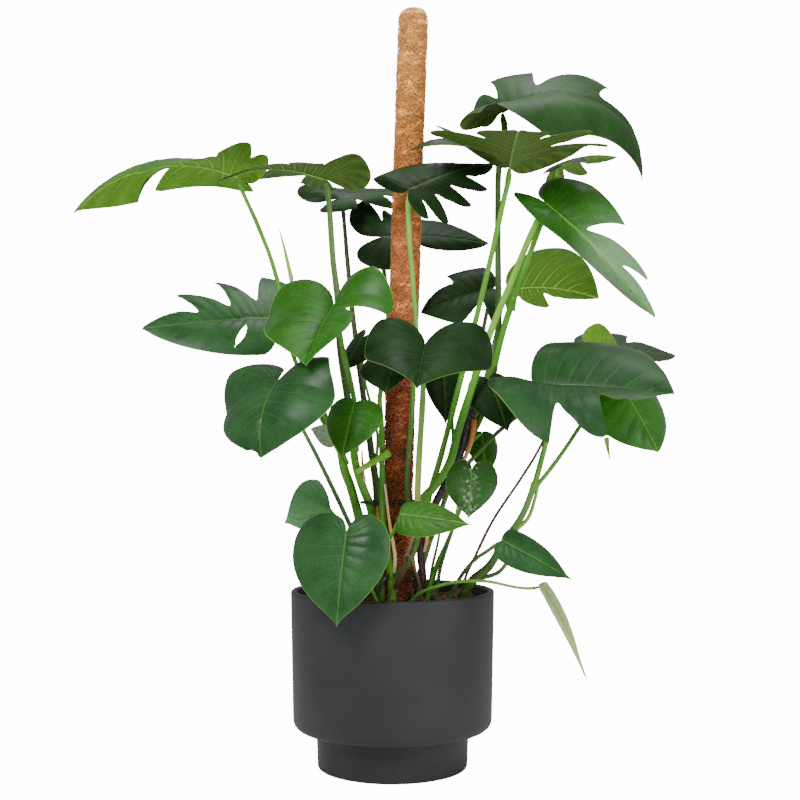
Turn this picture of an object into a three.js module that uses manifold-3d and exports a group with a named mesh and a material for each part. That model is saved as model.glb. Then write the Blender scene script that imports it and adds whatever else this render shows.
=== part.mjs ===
// Potted swiss cheese plant on a coir pole, in millimetres, +Z up.
// The origin is the middle of the pot's foot, the viewer of the photo stands at -Y.
// Every leaf blade is one thin bent sheet with its cuts, every group of stalks that
// grows together is one body, and all of them stand in plain holes in the soil.
import * as THREE from 'three';
import { mergeVertices } from 'three/addons/utils/BufferGeometryUtils.js';
import Module from 'manifold-3d';

const wasm = await Module();
wasm.setup();

// Driving dimensions
const gap = 0.3;                 // clearance between two bodies that touch
const bladeGap = 0.4;            // clearance between a stalk's end and its blade
const potRadius = 150;           // outside of the rim
const potHeight = 258;
const potWall = 9;
const potFloor = 10;
const footWall = 101;            // inside of the foot
const footRadius = 110;
const footHeight = 50;           // the recessed foot below the round body
const soilHeight = 241;
const coirRadius = 21;
const coreRadius = 10;
const poleBottom = 30;           // the core stands this high above the floor, in the soil
const coirBottom = 70;
const tieHeight = 388;
const tieRadius = 2;
const tiedStem = { at: [-35, -38], radius: 8 };
const bladeThickness = 1;
const lobeDroop = 0.04;          // how far a lobe's margin hangs, in leaf lengths
const fingerPoint = 0.35;        // how far a finger is drawn in on its side towards the stalk
const weldDistance = 0.001;      // points nearer than this are one point
const petioleReach = 8;          // a leaf stalk ends this far along the midrib
const farApart = 100;            // two points of a stalk's path get one more ring between them
const turnedSides = 28;
const soilRing = 26;             // width of a ring of the soil's top
const stalkSides = 6;
const stemSides = 8;

const shade = {
  leafDark: '#23472f', leafFresh: '#3f7d2c', leafLime: '#7da83a', stalk: '#5f8f33',
  pot: '#3f4045', soil: '#3a2722', coir: '#b8713f', wood: '#8a6a48', cord: '#1d2a22',
};

const rad = THREE.MathUtils.degToRad;
const clamp = THREE.MathUtils.clamp;
const vec = (p) => new THREE.Vector3(...p);

// Solids

function toManifold(geometry) {
  const bare = geometry.index ? geometry.clone() : geometry;
  bare.deleteAttribute('normal');
  bare.deleteAttribute('uv');
  const merged = mergeVertices(bare, weldDistance);
  return new wasm.Manifold(new wasm.Mesh({
    numProp: 3,
    vertProperties: new Float32Array(merged.attributes.position.array),
    triVerts: new Uint32Array(merged.index.array),
  }));
}

function toGeometry(solid) {
  const mesh = solid.getMesh();
  const geometry = new THREE.BufferGeometry();
  geometry.setAttribute('position', new THREE.BufferAttribute(new Float32Array(mesh.vertProperties), 3));
  geometry.setIndex([...mesh.triVerts]);
  geometry.computeVertexNormals();
  return geometry;
}

function largestBody(solid) {
  const bodies = solid.decompose();
  return bodies.sort((p, q) => q.volume() - p.volume())[0];
}

function geometryOf(points, triangles) {
  const geometry = new THREE.BufferGeometry();
  geometry.setAttribute('position', new THREE.BufferAttribute(new Float32Array(points.flat()), 3));
  geometry.setIndex(triangles.flat());
  return geometry;
}

function piece(name, solid, colour, roughness) {
  const welded = largestBody(toManifold(toGeometry(solid)));
  const material = new THREE.MeshStandardMaterial({ color: colour, roughness, metalness: 0 });
  const mesh = new THREE.Mesh(toGeometry(welded), material);
  mesh.name = name;
  return mesh;
}

// Rings of points around a row of centres, with a fan over each end, or closed into a loop.
function sweep(centres, radiusAt, sides, loop = false) {
  const last = centres.length - 1;
  const points = [];
  const triangles = [];
  let normal = null;
  centres.forEach((centre, i) => {
    const before = centres[i > 0 ? i - 1 : loop ? last : 0];
    const after = centres[i < last ? i + 1 : loop ? 0 : last];
    const tangent = after.clone().sub(before).normalize();
    if (!normal) normal = Math.abs(tangent.z) < 0.9 ? vec([0, 0, 1]) : vec([1, 0, 0]);
    normal = normal.clone().addScaledVector(tangent, -normal.dot(tangent)).normalize();
    const across = tangent.clone().cross(normal);
    for (let j = 0; j < sides; j++) {
      const turn = 2 * Math.PI * j / sides;
      const way = normal.clone().multiplyScalar(Math.cos(turn)).addScaledVector(across, Math.sin(turn));
      points.push(centre.clone().addScaledVector(way, radiusAt(i / last)).toArray());
    }
  });
  for (let i = 0; i < (loop ? last + 1 : last); i++) {
    const here = i * sides;
    const next = (i === last ? 0 : i + 1) * sides;
    for (let j = 0; j < sides; j++) {
      const k = (j + 1) % sides;
      triangles.push([here + j, here + k, next + k], [here + j, next + k, next + j]);
    }
  }
  for (let j = 1; !loop && j < sides - 1; j++) {
    const end = last * sides;
    triangles.push([0, j + 1, j], [end, end + j, end + j + 1]);
  }
  return toManifold(geometryOf(points, triangles));
}

// Leaf blades

// Half outlines from the stalk's joint round the basal lobe to the tip:
// along the midrib in leaf lengths, and out from it in half widths.
const outlines = {
  split: [[0, 0], [-0.08, 0.05], [-0.19, 0.18], [-0.25, 0.42], [-0.21, 0.70], [-0.06, 0.93], [0.14, 1],
    [0.36, 0.97], [0.56, 0.83], [0.74, 0.60], [0.88, 0.32], [0.96, 0.11], [1, 0]],
  heart: [[0, 0], [-0.09, 0.02], [-0.20, 0.10], [-0.28, 0.30], [-0.27, 0.56], [-0.16, 0.82], [0.04, 0.98],
    [0.27, 0.97], [0.50, 0.79], [0.71, 0.49], [0.86, 0.20], [0.94, 0.06], [1, 0]],
  young: [[0, 0], [-0.06, 0.10], [-0.12, 0.30], [-0.12, 0.55], [-0.04, 0.82], [0.10, 0.97], [0.27, 1],
    [0.46, 0.88], [0.64, 0.64], [0.79, 0.36], [0.90, 0.13], [0.96, 0.04], [1, 0]],
};

// A cut is [place along the margin 0 to 1, depth of its inner end, half opening, place where it
// closes again].
const threeCuts = [[0.44, 0.42, 0.03], [0.59, 0.36, 0.035], [0.74, 0.36, 0.03]];
const twoCuts = [[0.50, 0.40, 0.03], [0.68, 0.36, 0.035]];

const plainLeaf = {
  shape: 'split', bend: 20, fold: [0, 0], curl: [30, 30], ear: [0, 0], cuts: [[], []],
  taper: [0, 0], base: [1, 1], colour: 'leafDark',
};

// joint: where the stalk meets the blade; heading: 0 to +X, 90 to +Y; pitch: up; roll: the left half up;
// length from the joint to the tip; wide: half widths left and right of the midrib, seen from the joint;
// bend: how far the midrib arches down; fold, curl, ear: how far each half lifts at the midrib, rolls
// down towards its margin, and lifts again beside the joint. Angles are in degrees.
const leaves = {
  leaf_left_high: {
    joint: [-224, -40, 862], heading: 187, pitch: 24, roll: 2, length: 262, wide: [90, 42], bend: 76,
    fold: [5, 10], curl: [28, 40], ear: [62, 0], taper: [-0.5, -1.1], base: [0.45, 0.4],
    cuts: [[[0.38, 0.45, 0.045], [0.52, 0.42, 0.025], [0.70, 0.40, 0.02]], [[0.68, 0.35, 0.03]]],
  },
  leaf_left_inner: {
    joint: [-97, -60, 855], heading: 205, pitch: 18, roll: 6, length: 171, wide: [80, 80], bend: 50,
    fold: [0, 18], curl: [15, 15], ear: [38, 0], base: [1.2, 0.6], cuts: [twoCuts, twoCuts],
  },
  leaf_rear_left: {
    joint: [-81, 54, 850], heading: 35, pitch: 16, roll: 28, length: 190, wide: [85, 32],
    ear: [20, 0], cuts: [twoCuts, twoCuts],
  },
  leaf_front_high: {
    joint: [25, -110, 831], heading: 40, pitch: 27, roll: 18, length: 182, wide: [76, 66], bend: 14,
    fold: [22, -18], curl: [20, 42], taper: [0.55, 0], base: [0.25, 0.5],
    cuts: [[], [[0.40, 0.35, 0.03], [0.52, 0.35, 0.03], [0.64, 0.35, 0.03], [0.76, 0.40, 0.025]]],
  },
  leaf_rear_middle: {
    joint: [-17, 70, 792], heading: 8, pitch: 6, roll: 45, length: 176, wide: [100, 62],
    ear: [30, 0], taper: [0, 0.3], cuts: [[[0.44, 0.30, 0.03], [0.60, 0.26, 0.05]], [[0.60, 0.20, 0.08]]],
  },
  leaf_top: {
    joint: [160, -20, 962], heading: -24, pitch: 34, roll: 32, length: 295, wide: [150, 104], bend: 130,
    fold: [16, 8], curl: [20, 50], ear: [14, 55], taper: [0.1, 0.1], base: [0.6, 0.6],
    cuts: [[[0.42, 0.24, 0.05], [0.58, 0.20, 0.06], [0.77, 0.22, 0.085]], [[0.44, 0.40, 0.015]]],
  },
  leaf_front_tall: {
    joint: [169, -60, 873], heading: -92, pitch: 5, roll: 5, length: 205, wide: [140, 150], bend: 8,
    fold: [14, 25], curl: [22, 25], ear: [14, 28], cuts: [threeCuts, threeCuts],
  },
  leaf_small_high: {
    joint: [248, 35, 894], heading: -10, pitch: 22, roll: 0, length: 95, wide: [60, 60], bend: 30,
    cuts: [twoCuts, twoCuts],
  },
  leaf_right_hanging: {
    joint: [219, -90, 815], heading: -46, pitch: -36, roll: 38, length: 240, wide: [90, 26], bend: 28,
    fold: [5, -45], curl: [20, 30], ear: [0, 45], taper: [0.4, 0.2], base: [0.9, 1.0],
    cuts: [[[0.66, 0.13, 0.06], [0.81, 0.34, 0.03]], []],
  },
  leaf_rear_right: {
    joint: [184, 90, 715], heading: 20, pitch: 10, roll: -40, length: 145, wide: [38, 118], bend: 40,
    base: [0.3, 0.6], cuts: [twoCuts, []],
  },
  leaf_rear_small: {
    joint: [153, 42, 709], heading: 190, pitch: -10, roll: -44, length: 118, wide: [68, 62], bend: 25,
    fold: [20, 30], curl: [60, 60], base: [0.2, 0.3],
    cuts: [[[0.38, 0.30, 0.06], [0.58, 0.30, 0.06]], [[0.70, 0.5, 0.05]]],
  },
  leaf_rear_far_right: {
    joint: [325, 110, 623], heading: 10, pitch: 0, roll: 24, length: 130, wide: [65, 65], bend: 10,
    fold: [12, 0], curl: [8, 30], ear: [0, 80], cuts: [twoCuts, twoCuts], colour: 'leafFresh',
  },
  leaf_right_low: {
    joint: [196, -150, 555], heading: -20, pitch: -1, roll: 45, length: 188, wide: [120, 128], bend: 10,
    fold: [15, 40], curl: [45, 78], ear: [0, 30], taper: [-0.3, 0], base: [0.3, 1],
    cuts: [[], [[0.57, 0.45, 0.04], [0.73, 0.40, 0.04]]],
  },
  leaf_right_outer: {
    joint: [310, -110, 571], heading: -40, pitch: -52, roll: 25, length: 128, wide: [66, 60], bend: 15,
    taper: [-0.3, -0.3], base: [0.6, 0.3],
  },
  leaf_left_middle: {
    joint: [-170, -30, 657], heading: 198, pitch: -2, roll: -50, length: 195, wide: [73, 115], bend: 12,
    fold: [22, 0], curl: [40, 20], base: [0.3, 1.1],
    cuts: [[[0.44, 0.55, 0.02], [0.60, 0.22, 0.014, 0.70]],
      [[0.51, 0.30, 0.06], [0.65, 0.25, 0.055], [0.78, 0.30, 0.04]]],
  },
  leaf_left_front: {
    joint: [-82, -120, 665], heading: -107, pitch: -30, roll: 0, length: 138, wide: [104, 95],
    fold: [40, 35], curl: [66, 70], ear: [30, 20], cuts: [[[0.62, 0.35, 0.05]], []],
  },
  leaf_centre_front: {
    shape: 'heart', joint: [44, -190, 605], heading: -97, pitch: -25, roll: 0, length: 114, wide: [100, 86],
    bend: 15, fold: [28, 38], curl: [80, 82], ear: [25, 25],
  },
  leaf_centre_inner: {
    shape: 'heart', joint: [11, -130, 600], heading: -110, pitch: -35, roll: 0, length: 85, wide: [26, 60],
  },
  leaf_left_low: {
    joint: [-155, -170, 558], heading: -116, pitch: -30, roll: 8, length: 123, wide: [93, 92],
    bend: 66, fold: [15, 10], curl: [50, 50], ear: [20, 28], taper: [-0.25, -0.1], base: [1.5, 1.8],
    cuts: [[], [[0.90, 0.84, 0.035]]],
  },
  leaf_heart_left: {
    shape: 'heart', joint: [-53, -120, 527], heading: -118, pitch: -62, roll: -10, length: 80, wide: [42, 42],
    bend: 10, base: [0.6, 0.6],
  },
  leaf_bud_left: {
    shape: 'young', joint: [-81, -60, 484], heading: 175, pitch: 20, roll: 60, length: 40, wide: [20, 20],
    bend: 10, base: [0.5, 0.5],
  },
  leaf_heart_rear: {
    shape: 'heart', joint: [78, 60, 598], heading: -88, pitch: -62, roll: 0, length: 105, wide: [30, 32],
    bend: 10,
  },
  leaf_right_inner: {
    shape: 'heart', joint: [143, -40, 560], heading: -66, pitch: -50, roll: 20, length: 84, wide: [36, 38],
    bend: 15,
  },
  leaf_right_under: {
    shape: 'young', joint: [134, 20, 490], heading: -80, pitch: -60, roll: 0, length: 74, wide: [25, 25],
    bend: 10, base: [0.4, 0.4],
  },
  leaf_heart_right: {
    shape: 'heart', joint: [110, -130, 436], heading: -103, pitch: -60, roll: 0, length: 70, wide: [37, 39],
    bend: 15, colour: 'leafFresh',
  },
  leaf_pointed_front: {
    shape: 'young', joint: [11, -140, 377], heading: -28, pitch: -3, roll: 60, length: 105, wide: [29, 29],
    bend: 12, base: [0.3, 0.3], colour: 'leafFresh',
  },
  leaf_low_left_rear: {
    shape: 'young', joint: [-89, -60, 381], heading: 195, pitch: -15, roll: -65, length: 70, wide: [30, 60],
    bend: 10, base: [0.4, 0.4],
  },
  leaf_low_front: {
    shape: 'heart', joint: [-62, -165, 352], heading: -114, pitch: -72, roll: 0, length: 125, wide: [60, 98],
    bend: 10, base: [0.85, 0.85],
  },
  leaf_low_right: {
    shape: 'young', joint: [150, -150, 342], heading: -19, pitch: -25, roll: 50, length: 109, wide: [36, 26],
    bend: 10, base: [0.3, 0.3],
  },
  leaf_runner: {
    shape: 'young', joint: [211, -80, 272], heading: -20, pitch: -55, roll: 25, length: 150, wide: [17, 15],
    fold: [40, 40], base: [0.2, 0.2], colour: 'leafLime',
  },
  leaf_centre_left: {
    shape: 'heart', joint: [-45, -20, 628], heading: 200, pitch: -50, roll: -20, length: 60, wide: [35, 40],
  },
};

for (const name of Object.keys(leaves)) leaves[name] = { ...plainLeaf, ...leaves[name] };

// Catmull-Rom value at x, 0 to 1, with the first and last points mirrored outwards.
function splineAt(points, x) {
  const n = points.length - 1;
  const i = Math.min(Math.floor(clamp(x, 0, 1) * n), n - 1);
  const f = clamp(x, 0, 1) * n - i;
  const mirrored = (p, q) => [2 * p[0] - q[0], 2 * p[1] - q[1]];
  const p0 = i > 0 ? points[i - 1] : mirrored(points[0], points[1]);
  const p3 = i < n - 1 ? points[i + 2] : mirrored(points[n], points[n - 1]);
  const [p1, p2] = [points[i], points[i + 1]];
  return [0, 1].map((c) => 0.5 * (2 * p1[c] + (p2[c] - p0[c]) * f
    + (2 * p0[c] - 5 * p1[c] + 4 * p2[c] - p3[c]) * f ** 2
    + (3 * p1[c] - p0[c] - 3 * p2[c] + p3[c]) * f ** 3));
}

// Place in the flat leaf for margin place s and depth t, 0 on the midrib and 1 on the margin.
// Lines of equal s are the side veins: they leave the midrib forwards and sweep out.
function flatPlace(leaf, half, s, t) {
  const [along, out] = splineAt(outlines[leaf.shape], s);
  const root = clamp((s - 0.33) / 0.67, 0, 1) ** 1.7;
  const a = (1 - t) ** 2 * root + 2 * t * (1 - t) * (root + 0.35 * (along - root)) + t * t * along;
  const b = 2 * t * (1 - t) * 0.62 * out + t * t * out;
  const taper = 1 - leaf.taper[half] * clamp(a, 0, 1);
  return [a * leaf.length * (a < 0 ? leaf.base[half] : 1), b * taper * leaf.wide[half]];
}

function leafAxes(leaf) {
  const [h, p, r] = [leaf.heading, leaf.pitch, leaf.roll].map(rad);
  const ahead = vec([Math.cos(h), Math.sin(h), 0]);
  const left = vec([-Math.sin(h), Math.cos(h), 0]);
  const up = vec([0, 0, 1]);
  const along = ahead.clone().multiplyScalar(Math.cos(p)).addScaledVector(up, Math.sin(p));
  const normal = ahead.clone().multiplyScalar(-Math.sin(p)).addScaledVector(up, Math.cos(p));
  const side = left.clone().multiplyScalar(Math.cos(r)).addScaledVector(normal, Math.sin(r));
  const face = normal.clone().multiplyScalar(Math.cos(r)).addScaledVector(left, -Math.sin(r));
  return { along, side, face };
}

// The bent leaf: the midrib is an arc, and each half folds up from it and rolls down on an arc.
function bentPlace(leaf, axes, half, a, b, lift) {
  const turn = rad(leaf.bend) / leaf.length;
  const ahead = Math.sin(turn * a) / turn;
  const fall = (Math.cos(turn * a) - 1) / turn;
  const face = axes.face.clone().multiplyScalar(Math.cos(turn * a))
    .addScaledVector(axes.along, Math.sin(turn * a));
  const near = THREE.MathUtils.smoothstep(0.25 - a / leaf.length, 0, 0.4);
  const fold = rad(leaf.fold[half] + leaf.ear[half] * near);
  const curl = rad(leaf.curl[half]) / leaf.wide[half];
  const out = (Math.sin(fold) - Math.sin(fold - curl * b)) / curl;
  const rise = (Math.cos(fold - curl * b) - Math.cos(fold)) / curl + lift;
  const sign = half === 0 ? 1 : -1;
  return vec(leaf.joint).addScaledVector(axes.along, ahead).addScaledVector(axes.face, fall)
    .addScaledVector(axes.side, sign * out).addScaledVector(face, rise);
}

// One open sheet of points and triangles, cut along the side veins.
function bladeSheet(leaf) {
  const axes = leafAxes(leaf);
  const reopens = leaf.cuts.flat().some((cut) => cut.length > 3);
  const rows = reopens ? [0, 0.5, 0.675, 0.85, 1] : [0, 0.5, 0.8, 1];
  const steps = leaf.shape === 'split' ? 10 : leaf.length > 100 ? 9 : 7;
  const places = [...new Set(leaf.cuts.flat().map((cut) => cut[0]))].sort((p, q) => p - q);
  const edges = [0, ...places, 1];
  const known = new Map();
  const points = [];
  const triangles = [];
  const opening = (cut, x) => {
    if (!cut) return 0;
    if (cut.length > 3) return cut[2] * Math.sin(Math.PI * clamp(x / cut[3], 0, 1)) ** 0.7;
    return cut[2] * Math.sqrt(x) * (0.75 + 0.25 * x);
  };
  const add = (half, s, t, number, inner) => {
    const [a, b] = flatPlace(leaf, half, s, t);
    const key = `${Math.round(a * 100)},${Math.round((half === 0 ? b : -b) * 100)}`;
    if (!known.has(key)) {
      const outer = clamp((t - inner) / (1 - inner), 0, 1);
      const swing = 1 + 0.5 * Math.sin(2.4 * number + (half === 0 ? 1 : -1));
      const ends = THREE.MathUtils.smoothstep(s, 0, 0.2) * THREE.MathUtils.smoothstep(1 - s, 0, 0.25);
      const droop = lobeDroop * leaf.length * outer ** 2 * swing * ends;
      known.set(key, points.length);
      points.push(bentPlace(leaf, axes, half, a, b, -droop));
    }
    return known.get(key);
  };
  for (const half of [0, 1]) {
    const cutAt = (s) => leaf.cuts[half].find((cut) => cut[0] === s);
    for (let lobe = 0; lobe < edges.length - 1; lobe++) {
      const [from, to] = [cutAt(edges[lobe]), cutAt(edges[lobe + 1])];
      const span = edges[lobe + 1] - edges[lobe];
      const number = leaf.cuts[half].filter((cut) => cut.length === 3 && cut[0] <= edges[lobe]).length;
      const count = Math.max(2, Math.round(steps * span));
      const grid = [];
      for (let i = 0; i <= count; i++) {
        const f = i / count;
        const inner = THREE.MathUtils.lerp(from ? from[1] : 0.4, to ? to[1] : 0.4, f);
        grid.push(rows.map((row) => {
          const x = clamp(2 * row - 1, 0, 1);
          const s = edges[lobe] + opening(from, x) + (span - opening(from, x) - opening(to, x)) * f;
          const pointed = from && from.length === 3 ? 1 - fingerPoint * (1 - f) ** 2 * x : 1;
          const t = row <= 0.5 ? 2 * inner * row : inner + (1 - inner) * (2 * row - 1);
          return add(half, s, t * pointed, number, inner);
        }));
      }
      for (let i = 0; i < count; i++) {
        for (let j = 0; j < rows.length - 1; j++) {
          const ring = [grid[i][j], grid[i + 1][j], grid[i + 1][j + 1], grid[i][j + 1]];
          if (half === 1) ring.reverse();
          for (const corner of [[0, 1, 2], [0, 2, 3]]) {
            const triangle = corner.map((c) => ring[c]);
            if (new Set(triangle).size === 3) triangles.push(triangle);
          }
        }
      }
    }
  }
  return { points, triangles };
}

// The sheet with the given thickness: both faces have the same triangles, walls close the margin.
function thicken(sheet, thickness) {
  const normals = sheet.points.map(() => new THREE.Vector3());
  const free = new Map();
  for (const [i, j, k] of sheet.triangles) {
    const [p, q, r] = [sheet.points[i], sheet.points[j], sheet.points[k]];
    const normal = q.clone().sub(p).cross(r.clone().sub(p));
    [i, j, k].forEach((n) => normals[n].add(normal));
    for (const [m, n] of [[i, j], [j, k], [k, i]]) {
      if (!free.delete(`${n},${m}`)) free.set(`${m},${n}`, [m, n]);
    }
  }
  const count = sheet.points.length;
  const shifted = (way) => sheet.points.map((p, i) => p.clone()
    .addScaledVector(normals[i].clone().normalize(), way * thickness / 2).toArray());
  const triangles = [];
  for (const [i, j, k] of sheet.triangles) triangles.push([i, j, k], [i + count, k + count, j + count]);
  for (const [m, n] of free.values()) triangles.push([m, m + count, n + count], [m, n + count, n]);
  return toManifold(geometryOf([...shifted(1), ...shifted(-1)], triangles));
}

const sheets = Object.fromEntries(Object.entries(leaves).map(([name, leaf]) => [name, bladeSheet(leaf)]));

// Stalks

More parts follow.
